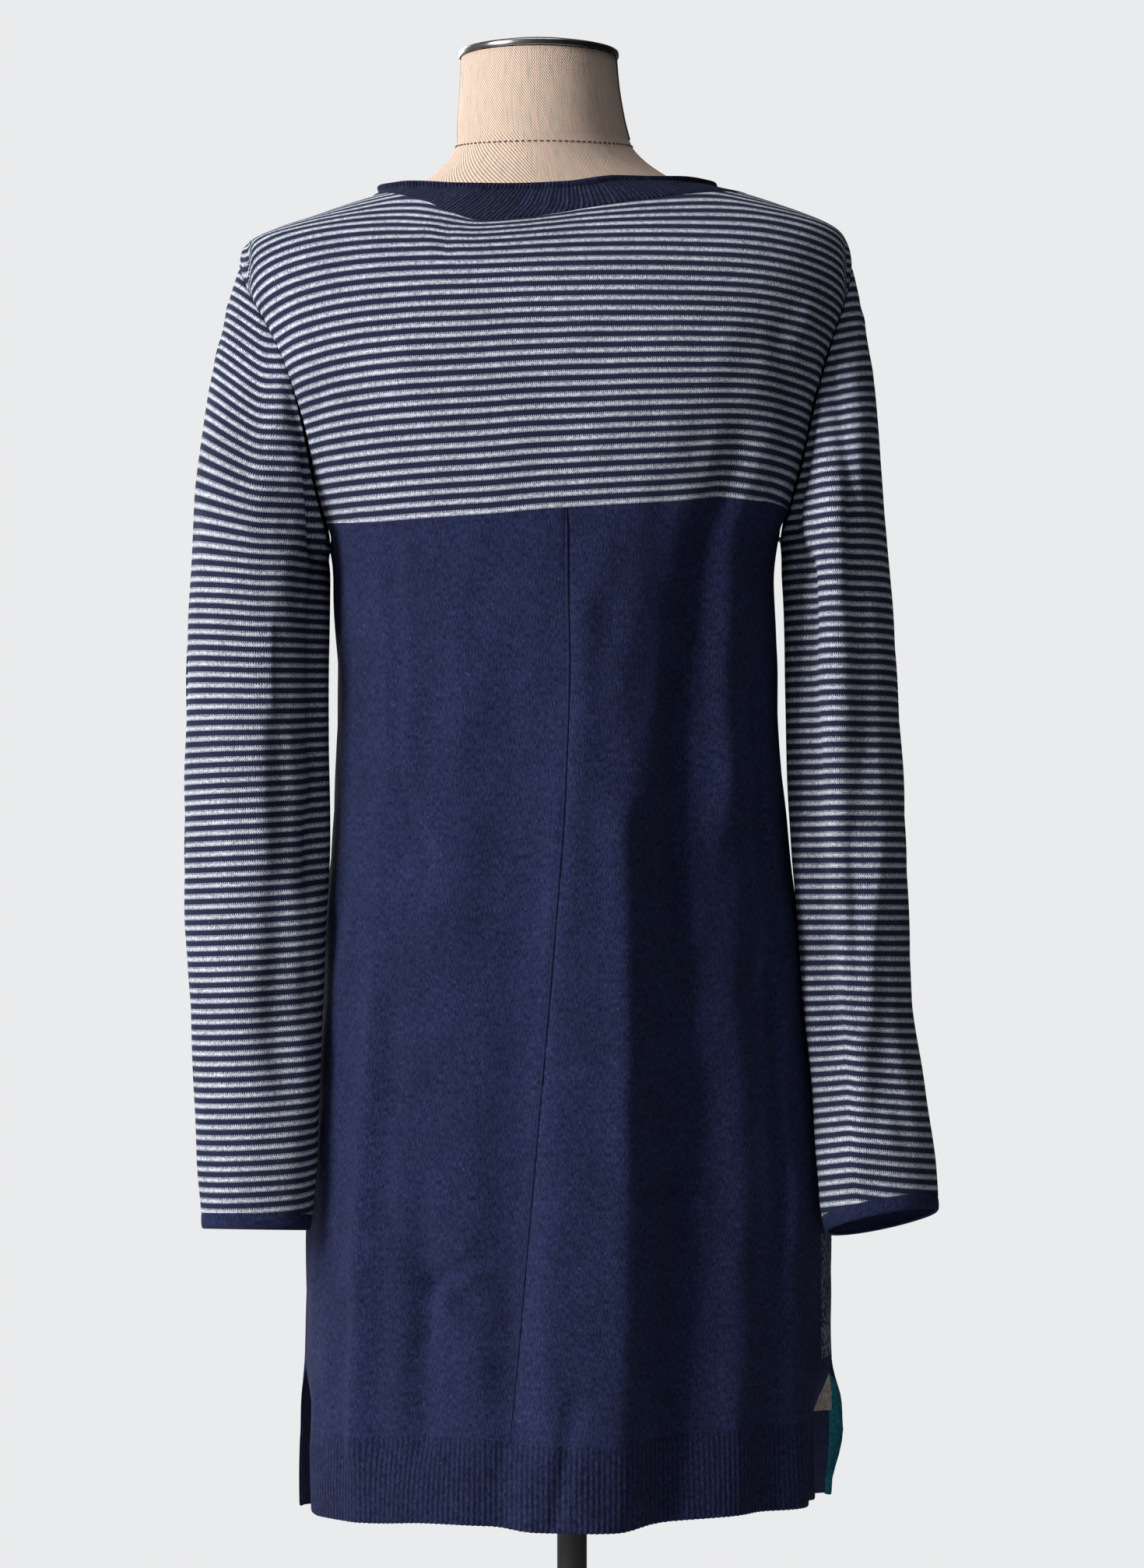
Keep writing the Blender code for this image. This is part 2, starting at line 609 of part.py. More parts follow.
def sleeve_grid(side, rows, folds, cuff_line, rings):
    """Rings of a sleeve from its armhole to its cuff, given by the height of its end at each angle."""
    sign = SIDES[side]["sign"]
    angles, heights, levels = armhole_ring(side, SHOULDER_ROW)
    start = body_point(angles, heights)
    steps = np.linalg.norm(np.roll(start, -1, 0) - start, axis=1)
    back = np.concatenate([[0], np.cumsum(steps[:levels - 1])])
    front = np.concatenate([[0], np.cumsum(steps[levels - 1:])])
    turn = np.concatenate([180 * back / back[-1], 180 + 180 * front[1:-1] / front[-1]])
    # The seam's gap: away from the shoulder piece at the top, out from the body at the underarm.
    outward = surface_normal(body_base, angles, heights)
    centre = start.mean(0)
    away = unit(centre - start) * 0.4 + np.array([sign, 0, -0.2]) * 0.6
    low = ease((180 - np.abs(turn - 180) - 110) / 60)[:, None]
    shift = unit(away * (1 - low) + (outward + np.array([sign * 0.5, 0, 0])) * low)
    start = start + shift * SEAM_GAP * 1.6
    end = cuff_line(turn)
    grid = []
    for k in range(rings + 1):
        s = (k / rings) ** 1.2
        z = start[:, 2] + (end - start[:, 2]) * s
        fallen = (start[:, 2] - z) / ARMHOLE_BLEND
        keep = 1 - ease(fallen)
        hung = sleeve_section(rows, sign, turn, z)
        first = sleeve_section(rows, sign, turn, start[:, 2])
        point = hung + (start - first) * keep[:, None] * np.array([1, 1, 0])
        radius = (smooth(rows, "half_width", z) + smooth(rows, "half_depth", z)) / 2
        fold = fold_depth(folds, turn, z, radius) * ease(fallen)
        middle = np.stack([smooth(rows, "centre_x", z), smooth(rows, "centre_y", z), z], -1)
        point = point + unit(point - middle) * fold[:, None]
        grid.append(point)
    return np.array(grid), turn


def grid_normal(grid):
    """Outward directions of a tube's rings, whose columns run round it."""
    round_it = np.roll(grid, -1, 1) - np.roll(grid, 1, 1)
    down_it = np.empty_like(grid)
    down_it[1:-1] = grid[2:] - grid[:-2]
    down_it[0] = grid[1] - grid[0]
    down_it[-1] = grid[-1] - grid[-2]
    normal = unit(np.cross(down_it, round_it))
    middle = grid.mean(1, keepdims=True)
    facing = np.sign(np.sum(normal * (grid - middle), -1).mean())
    return normal * facing


def make_sleeves():
    for side, rows, folds, tip, lean in (
        ("left", SLEEVE_LEFT, SLEEVE_LEFT_FOLDS, 0.7232, (0.0005, 0.0020)),
        ("right", SLEEVE_RIGHT, SLEEVE_RIGHT_FOLDS, 0.7283, (0.0068, 0.0072)),
    ):
        def end_line(turn, tip=tip, lean=lean):
            return tip + lean[0] * np.cos(np.radians(turn)) + lean[1] * np.sin(np.radians(turn))

        def join_line(turn, end_line=end_line):
            return end_line(turn) + CUFF_BAND

        grid, turn = sleeve_grid(side, rows, folds, join_line, SLEEVE_RINGS)
        wall_solid("sleeve_" + side, grid, grid - grid_normal(grid) * WALL, True, STRIPE)
        sign = SIDES[side]["sign"]
        band = []
        for share in (0.0, 1.0):
            z = join_line(turn) - SEAM_GAP + (end_line(turn) - join_line(turn) + SEAM_GAP) * share
            hung = sleeve_section(rows, sign, turn, z)
            middle = np.stack([smooth(rows, "centre_x", z), smooth(rows, "centre_y", z), z], -1)
            radius = (smooth(rows, "half_width", z) + smooth(rows, "half_depth", z)) / 2
            fold = fold_depth(folds, turn, z, radius)
            band.append(hung + unit(hung - middle) * fold[:, None])
        band = np.array(band)
        wall_solid("cuff_" + side, band, band - grid_normal(band) * WALL, True, NAVY)


def capped_rings(name, rings, colour, roughness, metallic, round_angle=40):
    """A solid through closed rings of points, its two ends closed by flat fans."""
    rings = np.array(rings)
    count, around = rings.shape[:2]
    points = list(rings.reshape(-1, 3)) + [rings[0].mean(0), rings[-1].mean(0)]
    faces = []
    for r in range(count - 1):
        for c in range(around):
            d = (c + 1) % around
            a, b, e, f = r * around + c, r * around + d, (r + 1) * around + d, (r + 1) * around + c
            faces += [(a, b, e), (a, e, f)]
    for c in range(around):
        d = (c + 1) % around
        faces.append((count * around, d, c))
        faces.append((count * around + 1, (count - 1) * around + c, (count - 1) * around + d))
    return make_object(name, points, faces, colour, roughness, metallic, round_angle)


def form_ring(height, angle):
    """One ring of the form below the cloth."""
    turn = np.radians(angle)
    behind = np.sin(turn) >= 0
    depth_slack = np.where(behind, smooth(FORM_SLACK, "back", height), smooth(FORM_SLACK, "front", height))
    slack = smooth(FORM_SLACK, "side", height) * np.cos(turn) ** 2 + depth_slack * np.sin(turn) ** 2
    z = np.full(len(angle), height)
    normal = surface_normal(body_base, angle, z)
    level = ease((1.32 - height) / 0.04)
    flat = unit(normal * np.array([1, 1, 0]))
    normal = unit(normal * (1 - level) + flat * level)
    slack = slack + FACET_ROOM * ease((height - 1.30) / 0.04)
    return body_base(angle, z) - normal * (WALL + FORM_CLEARANCE + slack)[:, None]


def neck_ring(height, angle):
    x, y = superellipse(angle, smooth(FORM_NECK, "half_width", height),
                        smooth(FORM_NECK, "half_depth", height), 1)
    x = x + smooth(FORM_NECK, "centre_x", height)
    return np.stack([x, y + smooth(FORM_NECK, "centre_y", height), height + 0 * x], -1)


def make_form():
    angle = np.arange(32) * 360 / 32
    levels = (0.742, 0.80, 0.85, 0.90, 0.96, 1.02, 1.09, 1.15, 1.20, 1.25, 1.29, 1.32, 1.342, 1.357,
              1.368, 1.378, 1.386, 1.3925)
    rings = []
    low = form_ring(levels[0], angle)
    middle = low.mean(0)
    shrunk = middle + (low - middle) * 0.93
    shrunk[:, 2] = FORM_BOTTOM
    rings.append(shrunk)
    rings += [form_ring(level, angle) for level in levels]
    last = rings[-1]
    base = neck_ring(FORM_SEAM, angle)
    for t in (0.22, 0.42, 0.60, 0.77, 0.90, 1.0):
        spread = 1 - (1 - t) ** 1.8
        ring = last + (base - last) * spread
        ring[:, 2] = last[:, 2] + (FORM_SEAM - last[:, 2]) * t ** 1.8
        rings.append(ring)
    capped_rings("form_torso", rings, LINEN, 0.85, 0.0)

    rings = [neck_ring(z, angle) for z in (FORM_SEAM + SEAM_GAP, 1.440, 1.452, 1.464, 1.476, NECK_TOP)]
    capped_rings("form_neck", rings, LINEN, 0.85, 0.0)

    rings = []
    top = neck_ring(NECK_TOP, angle)
    middle = top.mean(0)
    for share, rise in ((0.985, 0.0003), (1.030, 0.0012), (1.030, 0.0050), (1.000, 0.0066), (0.780, 0.0085),
                        (0.400, 0.0098)):
        ring = middle + (top - middle) * share
        ring[:, 2] = NECK_TOP + rise
        rings.append(ring)
    capped_rings("neck_cap", rings, (0.55, 0.54, 0.53), 0.25, 1.0)


def lathe(name, profile, segments, colour, roughness, metallic):
    angle = np.arange(segments) * 360 / segments
    rings = []
    for radius, height in profile:
        x, y = superellipse(angle, radius, radius, 1)
        rings.append(np.stack([x, y, height + 0 * x], -1))
    return capped_rings(name, rings, colour, roughness, metallic, 35)


def make_stand():
    lathe("pole", ((POLE_RADIUS, HUB_TOP + SEAM_GAP), (POLE_RADIUS, FORM_BOTTOM - SEAM_GAP)),
          24, (0.035, 0.035, 0.040), 0.35, 0.6)
    lathe(
        "stand_base",
        (
            (BASE_RADIUS - 0.0015, 0.0), (BASE_RADIUS, 0.0015), (BASE_RADIUS, BASE_THICKNESS - 0.003),
            (BASE_RADIUS - 0.004, BASE_THICKNESS), (HUB_RADIUS + 0.010, BASE_THICKNESS + 0.004),
            (HUB_RADIUS, BASE_THICKNESS + 0.009), (HUB_RADIUS, HUB_TOP - 0.002), (HUB_RADIUS - 0.002, HUB_TOP),
        ),
        40, (0.035, 0.035, 0.040), 0.45, 0.4,
    )


for old in list(bpy.data.objects):
    bpy.data.objects.remove(old, do_unlink=True)
make_body()
make_neckband()
make_sleeves()
make_form()
make_stand()
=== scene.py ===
"""The look of a striped sweater dress on its dress form: thin knitted shells on the solids' form,
their creases, ribs and stitches, the linen form with its cap, and the stand. Metres, +Z up."""

import math

import bmesh
import bpy
import numpy as np
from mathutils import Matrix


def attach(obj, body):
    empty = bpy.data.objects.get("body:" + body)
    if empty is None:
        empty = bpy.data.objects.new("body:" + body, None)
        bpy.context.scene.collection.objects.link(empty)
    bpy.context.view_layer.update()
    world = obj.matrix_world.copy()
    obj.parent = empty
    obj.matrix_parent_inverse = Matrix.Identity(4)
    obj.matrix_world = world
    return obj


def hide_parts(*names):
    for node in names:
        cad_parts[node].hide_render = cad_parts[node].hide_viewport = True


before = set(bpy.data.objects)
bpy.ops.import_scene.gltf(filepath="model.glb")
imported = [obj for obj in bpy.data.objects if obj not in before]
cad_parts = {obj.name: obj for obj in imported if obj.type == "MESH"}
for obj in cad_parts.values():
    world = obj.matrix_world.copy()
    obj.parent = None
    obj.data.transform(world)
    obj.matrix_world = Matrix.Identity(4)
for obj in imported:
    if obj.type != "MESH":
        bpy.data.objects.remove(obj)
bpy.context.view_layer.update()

CLOTH = 0.0013              # thickness of the knit that shows
SEAM_GAP = 0.00006
WALL = 0.0020               # thickness of the solids' cloth, which the form stays clear of
FORM_CLEARANCE = 0.0004
FACET_ROOM = 0.0015
SQUARENESS = 2.2            # 2 is an ellipse, more is a flatter back and front
CUFF_BAND = 0.0100          # plain band at the end of a sleeve
RIB_BAND = 0.0540           # ribbed band at the hem
RIB_PITCH = 0.0034
RIB_HEIGHT = 0.00045
BAND_PITCH = 0.0026         # ribs of the neckband
YOKE_FOOT = 1.1820          # the yoke's lower edge at the middle of the back
SLIT_TOP = 0.6400           # height where the side slits begin
SLIT_LENGTH_TO_FULL = 0.040
SLIT_REACH = 0.030          # how far from a slit its edges bend
SLIT_HALF_GAP = 0.0022
SLIT_LEFT_BACK = -0.0100    # how far a slit's edges move out of the body; the back's turn in
SLIT_RIGHT_BACK = -0.0165
SLIT_FRONT = 0.0030
SIDE_RADIUS = 0.15          # turns degrees into metres round the body's side
EDGE_RADIUS = 0.11          # and gaps into degrees at a panel's edge
RIPPLE_RADIUS = 0.14
ARMHOLE_END = 0.0004        # the armhole's curve ends this far inside its two ends
ARMHOLE_ROUNDNESS = 0.6
ARMHOLE_BLEND = 0.085       # length over which a sleeve leaves the shape of its armhole
FOLD_TOP = 1.15             # heights between which a fold's place is read
FOLD_LOW = 0.60
SHOULDER_SHARE = 0.79       # the armhole's upper end, as a share of the yoke's height
UNDERARM_SHARE = 0.975      # and its lower end, as a share of the skirt's
SEAM_TUCK = 0.0009          # how deep a sewn seam draws the cloth in
SEAM_TUCK_WIDTH = 0.0024

WALE = 0.00125              # width of one knitted stitch
COURSE = 0.000875           # height of one knitted row
STRIPE_PITCH = 0.0070       # a white stripe and the navy up to the next
STRIPE_MIDDLE = 0.29        # where the white's middle lies in it
SLEEVE_PITCH = 0.0067
BLOCK_EDGE = 0.0004         # softness of a colour block's edge

POLE_RADIUS = 0.0097
BASE_RADIUS = 0.1650
BASE_THICKNESS = 0.0140
HUB_RADIUS = 0.0220
HUB_TOP = 0.0520
FORM_BOTTOM = 0.7350
FORM_SIDE = 0.7420          # where the form's side begins, above its rounded lower edge
FORM_SHOULDER = 1.3925      # where its bare shoulders begin, under the neckband
FORM_SEAM = 1.4317          # seam between the neck and the shoulders of the form
NECK_TOP = 1.4880

CAMERA_PLACE = (0.0, 3.1, 0.9365)
CAMERA_RISE = 1.37          # degrees above level
CAMERA_FIELD = 18.8         # degrees, top to bottom of the picture

FOLD_COLUMNS = (
    "order", "top_angle", "low_angle", "top_width", "low_width", "top_depth", "low_depth",
    "upper_end", "upper_fade", "lower_end", "lower_fade",
)
SECTION_COLUMNS = ("height", "centre_x", "centre_y", "half_width", "half_depth")
CREASE_COLUMNS = ("angle_from", "height_from", "angle_to", "height_to", "width", "depth")
BACK_COLUMNS = (74, 92)     # columns of the back's grid to the left and right of its middle seam


def table(columns, rows):
    """Rows of a table as one array a column, in rising order of the first."""
    rows = np.array(sorted(rows), float)
    return {name: rows[:, i] for i, name in enumerate(columns)}


# The dress's outer surface without folds: a section at each height.
BODY = table(
    ("height", "centre_x", "half_width", "back_depth", "front_depth"),
    (
        (1.4100, 0.0165, 0.0960, 0.0530, 0.0500),
        (1.4040, 0.0160, 0.1040, 0.0575, 0.0550),
        (1.4015, 0.0150, 0.1085, 0.0595, 0.0575),
        (1.3980, 0.0105, 0.1165, 0.0620, 0.0605),
        (1.3940, 0.0055, 0.1285, 0.0645, 0.0640),
        (1.3899, 0.0058, 0.1415, 0.0675, 0.0680),
        (1.3818, 0.0062, 0.1645, 0.0730, 0.0755),
        (1.3736, 0.0102, 0.1850, 0.0785, 0.0830),
        (1.3654, 0.0158, 0.1964, 0.0837, 0.0900),
        (1.3573, 0.0172, 0.2002, 0.0880, 0.0945),
        (1.3400, 0.0170, 0.2015, 0.0945, 0.1030),
        (1.3000, 0.0160, 0.1960, 0.1040, 0.1140),
        (1.2600, 0.0155, 0.1860, 0.1095, 0.1210),
        (1.2140, 0.0135, 0.1680, 0.1110, 0.1240),
        (1.1900, 0.0125, 0.1565, 0.1105, 0.1240),
        (1.1680, 0.0120, 0.1470, 0.1095, 0.1230),
        (1.1400, 0.0118, 0.1441, 0.1080, 0.1215),
        (1.0800, 0.0095, 0.1438, 0.1062, 0.1190),
        (1.0200, 0.0087, 0.1459, 0.1070, 0.1200),
        (0.9200, 0.0066, 0.1545, 0.1120, 0.1240),
        (0.8200, 0.0046, 0.1632, 0.1170, 0.1270),
        (0.7140, 0.0024, 0.1712, 0.1215, 0.1290),
        (0.6600, 0.0022, 0.1712, 0.1235, 0.1295),
        (0.6200, 0.0020, 0.1728, 0.1250, 0.1300),
        (0.5400, 0.0020, 0.1732, 0.1275, 0.1300),
        (0.5000, 0.0020, 0.1732, 0.1280, 0.1300),
    ),
)

# Heights of the seams and edges by the angle round the body, from the wearer's left by the back.
YOKE_LINE = table(
    ("angle", "height"),
    (
        (0, 1.1810), (45, 1.1765), (75, 1.1785), (90, 1.1820), (115, 1.1870), (135, 1.1915),
        (150, 1.1910), (180, 1.1870), (225, 1.1850), (270, 1.1810), (315, 1.1800), (360, 1.1810),
    ),
)
NECK_SEAM = table(
    ("angle", "height"),
    (
        (0, 1.3955), (25, 1.3945), (45, 1.3900), (58, 1.3845), (70, 1.3755), (79, 1.3695),
        (86, 1.3715), (95, 1.3785), (107, 1.3845), (128, 1.3910), (150, 1.3945), (180, 1.3955),
        (210, 1.3930), (240, 1.3835), (270, 1.3690), (300, 1.3835), (330, 1.3930), (360, 1.3955),
    ),
)
NECK_EDGE = table(
    ("angle", "height"),
    (
        (0, 1.4015), (30, 1.4012), (60, 1.3970), (75, 1.3948), (90, 1.3968), (110, 1.4008),
        (135, 1.4012), (160, 1.4018), (180, 1.4020), (210, 1.4000), (240, 1.3930), (270, 1.3850),
        (300, 1.3930), (330, 1.3998), (360, 1.4015),
    ),
)
HEM_EDGE = table(
    ("angle", "height"),
    (
        (0, 0.5395), (45, 0.5408), (62, 0.5432), (75, 0.5425), (85, 0.5395), (98, 0.5392),
        (106, 0.5425), (118, 0.5455), (140, 0.5472), (180, 0.5465), (225, 0.5340), (270, 0.5290),
        (315, 0.5320), (360, 0.5395),
    ),
)
# Where the centre-back seam runs, and the middle of the front.
CENTRE_BACK = table(("height", "angle"), ((0.50, 77.0), (0.60, 79.5), (1.15, 92.6), (1.40, 90.0)))

# Soft folds of the body: depth is out of the cloth, a minus sign is a trough.
BODY_FOLDS = table(
    FOLD_COLUMNS,
    (
        (1, 92.6, 79.5, 0.009, 0.011, -0.0016, -0.0030, 1.185, 0.030, 0.50, 0.020),
        (2, 106.0, 96.0, 0.020, 0.030, 0.0045, 0.0095, 1.200, 0.090, 0.50, 0.020),
        (3, 129.2, 110.5, 0.010, 0.021, -0.0060, -0.0140, 1.265, 0.060, 0.50, 0.020),
        (4, 140.5, 126.0, 0.017, 0.026, 0.0045, 0.0070, 1.275, 0.080, 0.50, 0.020),
        (5, 44.0, 42.0, 0.012, 0.014, 0.0016, 0.0030, 1.170, 0.060, 0.50, 0.020),
        (6, 60.0, 60.2, 0.020, 0.024, -0.0010, -0.0045, 0.860, 0.160, 0.55, 0.050),
        (7, 154.0, 138.0, 0.012, 0.016, -0.0010, -0.0035, 1.120, 0.100, 0.50, 0.020),
        (8, 205.0, 212.0, 0.016, 0.024, 0.0020, 0.0060, 1.120, 0.160, 0.50, 0.020),
        (9, 226.0, 231.0, 0.016, 0.022, -0.0030, -0.0095, 1.130, 0.160, 0.50, 0.020),
        (10, 246.0, 250.0, 0.020, 0.026, 0.0020, 0.0060, 1.090, 0.200, 0.50, 0.020),
        (11, 281.0, 274.0, 0.018, 0.024, -0.0020, -0.0070, 1.080, 0.200, 0.50, 0.020),
        (12, 304.0, 297.0, 0.018, 0.028, 0.0030, 0.0080, 1.120, 0.180, 0.50, 0.020),
        (13, 322.0, 318.0, 0.014, 0.020, -0.0025, -0.0080, 1.120, 0.180, 0.50, 0.020),
    ),
)

# A sleeve's sections: centre, half width across and half depth front to back at each height.
SLEEVE_LEFT = table(
    SECTION_COLUMNS,
    (
        (1.3600, 0.1930, 0.0000, 0.0240, 0.0300),
        (1.3256, 0.1965, 0.0030, 0.0300, 0.0460),
        (1.3000, 0.1980, 0.0060, 0.0335, 0.0530),
        (1.2490, 0.2010, 0.0100, 0.0390, 0.0570),
        (1.1980, 0.2022, 0.0140, 0.0440, 0.0560),
        (1.1470, 0.2030, 0.0180, 0.0450, 0.0520),
        (1.0710, 0.2042, 0.0250, 0.0465, 0.0460),
        (1.0200, 0.2040, 0.0290, 0.0470, 0.0430),
        (0.9690, 0.2035, 0.0330, 0.0475, 0.0400),
        (0.9180, 0.2040, 0.0370, 0.0455, 0.0370),
        (0.8670, 0.2040, 0.0410, 0.0425, 0.0350),
        (0.8160, 0.2030, 0.0460, 0.0405, 0.0330),
        (0.7660, 0.2025, 0.0500, 0.0385, 0.0300),
        (0.7400, 0.2025, 0.0510, 0.0360, 0.0275),
        (0.7200, 0.2030, 0.0520, 0.0345, 0.0265),
        (0.7000, 0.2030, 0.0520, 0.0340, 0.0260),
    ),
)
SLEEVE_RIGHT = table(
    SECTION_COLUMNS,
    (
        (1.3600, -0.1610, 0.0000, 0.0230, 0.0300),
        (1.3256, -0.1650, 0.0030, 0.0255, 0.0460),
        (1.3000, -0.1665, 0.0060, 0.0280, 0.0540),
        (1.2490, -0.1680, 0.0100, 0.0315, 0.0600),
        (1.1980, -0.1692, 0.0140, 0.0338, 0.0610),
        (1.1470, -0.1724, 0.0180, 0.0344, 0.0580),
        (1.0710, -0.1750, 0.0240, 0.0368, 0.0540),
        (1.0200, -0.1768, 0.0280, 0.0378, 0.0520),
        (0.9690, -0.1790, 0.0320, 0.0375, 0.0490),
        (0.9180, -0.1815, 0.0360, 0.0360, 0.0460),
        (0.8670, -0.1850, 0.0400, 0.0350, 0.0430),
        (0.8160, -0.1905, 0.0470, 0.0362, 0.0390),
        (0.7660, -0.1953, 0.0560, 0.0380, 0.0350),
        (0.7400, -0.1968, 0.0580, 0.0380, 0.0320),
        (0.7200, -0.1980, 0.0590, 0.0355, 0.0290),
        (0.7000, -0.1980, 0.0590, 0.0350, 0.0285),
    ),
)
# Folds of the sleeves: 0 degrees is the outer side, 90 the back, 180 beside the body.
SLEEVE_LEFT_FOLDS = table(
    FOLD_COLUMNS,
    (
        (1, 104.0, 122.0, 0.010, 0.013, -0.0060, -0.0050, 1.285, 0.050, 0.765, 0.090),
        (2, 140.0, 150.0, 0.012, 0.012, 0.0015, 0.0025, 1.150, 0.100, 0.760, 0.080),
        (3, 255.0, 250.0, 0.014, 0.014, -0.0050, -0.0050, 1.260, 0.090, 0.780, 0.100),
        (4, 74.0, 70.0, 0.016, 0.014, 0.0015, 0.0020, 1.200, 0.150, 0.760, 0.080),
    ),
)
SLEEVE_RIGHT_FOLDS = table(
    FOLD_COLUMNS,
    (
        (1, 96.0, 104.0, 0.010, 0.014, 0.0030, 0.0010, 1.300, 0.080, 0.900, 0.200),
        (2, 72.0, 66.0, 0.009, 0.011, -0.0030, -0.0040, 1.290, 0.080, 0.760, 0.090),
        (3, 130.0, 136.0, 0.012, 0.014, -0.0030, -0.0050, 1.200, 0.060, 0.760, 0.090),
        (4, 250.0, 262.0, 0.014, 0.014, -0.0045, -0.0050, 1.260, 0.090, 0.780, 0.100),
    ),
)
# Fine creases: a soft line from one place to another, its depth out of the cloth.
BODY_CREASES = table(
    CREASE_COLUMNS,
    (
        (73.0, 1.3660, 74.5, 1.3480, 0.0030, -0.0012),
        (69.0, 1.3640, 71.0, 1.3500, 0.0035, 0.0008),
        (44.0, 0.9860, 54.0, 0.9660, 0.0055, -0.0022),
        (46.0, 1.0020, 55.0, 0.9800, 0.0060, 0.0008),
        (65.0, 0.6920, 75.0, 0.6600, 0.0065, -0.0024),
        (103.0, 0.6520, 110.0, 0.6230, 0.0060, -0.0024),
        (90.8, 0.6200, 88.0, 0.5450, 0.0036, -0.0032),
        (81.8, 0.5780, 82.2, 0.5450, 0.0075, 0.0026),
        (138.0, 1.2950, 150.0, 1.2300, 0.0080, -0.0022),
        (146.0, 1.3120, 156.0, 1.2700, 0.0070, 0.0016),
        (146.0, 1.2300, 150.5, 1.1950, 0.0070, -0.0024),
        (40.0, 1.2600, 31.0, 1.2150, 0.0070, -0.0014),
        (52.0, 0.7500, 50.0, 0.6200, 0.0120, 0.0018),
        (33.0, 0.8800, 30.0, 0.7000, 0.0120, -0.0018),
        (116.0, 1.0400, 119.0, 0.9200, 0.0060, -0.0022),
        (113.0, 0.8600, 112.0, 0.7300, 0.0065, -0.0026),
        (150.0, 0.9000, 146.0, 0.6800, 0.0100, 0.0016),
        (216.0, 1.2900, 226.0, 1.2250, 0.0080, -0.0020),
        (322.0, 1.2850, 312.0, 1.2200, 0.0080, -0.0018),
        (262.0, 1.3400, 268.0, 1.2700, 0.0110, 0.0014),
        (290.0, 1.0200, 300.0, 0.9600, 0.0080, -0.0016),
        (238.0, 0.9400, 232.0, 0.8600, 0.0080, 0.0016),
        (255.0, 0.7600, 258.0, 0.6400, 0.0090, -0.0022),
        (331.0, 0.7600, 334.0, 0.6300, 0.0090, 0.0020),
        (123.0, 1.1200, 113.0, 0.8600, 0.0110, -0.0050),
        (111.5, 0.8200, 109.0, 0.5500, 0.0120, -0.0025),
        (95.5, 1.1200, 88.0, 0.8400, 0.0085, 0.0030),
        (59.5, 0.7600, 59.0, 0.5900, 0.0085, -0.0035),
        (135.0, 0.9600, 129.5, 0.5300, 0.0270, -0.0095),
        (87.0, 0.8100, 86.0, 0.5800, 0.0095, 0.0028),
        (48.0, 0.8100, 66.0, 0.7750, 0.0080, -0.0016),
        (40.0, 0.7000, 52.0, 0.7200, 0.0080, 0.0015),
        (68.0, 1.1000, 64.0, 0.9500, 0.0110, 0.0018),
        (76.0, 1.0600, 73.0, 0.9000, 0.0100, -0.0016),
        (48.0, 1.1613, 47.4, 1.0125, 0.0050, -0.0022),
        (51.3, 1.1610, 50.7, 1.0174, 0.0060, 0.0020),
        (48.8, 1.0085, 58.7, 0.9612, 0.0050, -0.0032),
        (52.3, 1.0123, 61.6, 0.9676, 0.0055, 0.0026),
        (50.5, 0.9677, 46.2, 0.9231, 0.0060, -0.0016),
        (42.8, 0.8784, 40.2, 0.5858, 0.0080, 0.0036),
        (49.6, 0.8637, 48.3, 0.5872, 0.0080, -0.0028),
        (51.5, 0.7270, 60.4, 0.6918, 0.0065, -0.0032),
        (61.3, 0.6919, 73.8, 0.7132, 0.0060, -0.0032),
        (62.7, 0.6847, 71.1, 0.6974, 0.0060, 0.0022),
        (61.3, 0.6919, 58.4, 0.6499, 0.0070, -0.0036),
        (68.2, 0.6816, 79.0, 0.6670, 0.0060, -0.0028),
        (120.9, 1.0864, 118.9, 0.9133, 0.0060, -0.0026),
        (126.7, 1.0917, 123.3, 0.9133, 0.0070, 0.0026),
        (149.4, 1.0731, 154.5, 0.8979, 0.0050, -0.0022),
        (144.0, 1.0728, 147.1, 0.8931, 0.0060, 0.0018),
        (149.1, 0.8980, 141.2, 0.6896, 0.0050, -0.0024),
        (144.6, 0.8931, 137.8, 0.6950, 0.0060, 0.0016),
        (109.3, 0.6925, 114.0, 0.6677, 0.0050, -0.0022),
        (105.3, 0.7505, 122.8, 0.7516, 0.0060, -0.0020),
        (106.1, 0.7441, 120.2, 0.7453, 0.0060, 0.0014),
        (103.5, 0.9872, 101.0, 0.7564, 0.0090, 0.0045),
        (100.1, 0.7369, 100.0, 0.5563, 0.0090, 0.0030),
        (111.9, 0.9873, 106.2, 0.7563, 0.0100, -0.0045),
        (106.0, 0.6584, 116.5, 0.6382, 0.0070, -0.0018),
        (71.8, 0.6486, 74.4, 0.5950, 0.0080, 0.0016),
        (76.8, 0.7662, 79.2, 0.6391, 0.0100, -0.0014),
        (124.0, 0.8200, 119.5, 0.5300, 0.0150, -0.0055),
        (93.5, 1.1500, 90.0, 0.5700, 0.0180, 0.0042),
        (81.5, 1.0500, 78.0, 0.6200, 0.0130, -0.0034),
        (163.0, 0.5980, 162.0, 0.5300, 0.0190, -0.0140),
        (184.0, 0.6070, 184.0, 0.5900, 0.0140, 0.0030),
        (184.0, 0.5550, 184.0, 0.5200, 0.0140, -0.0055),
    ),
)
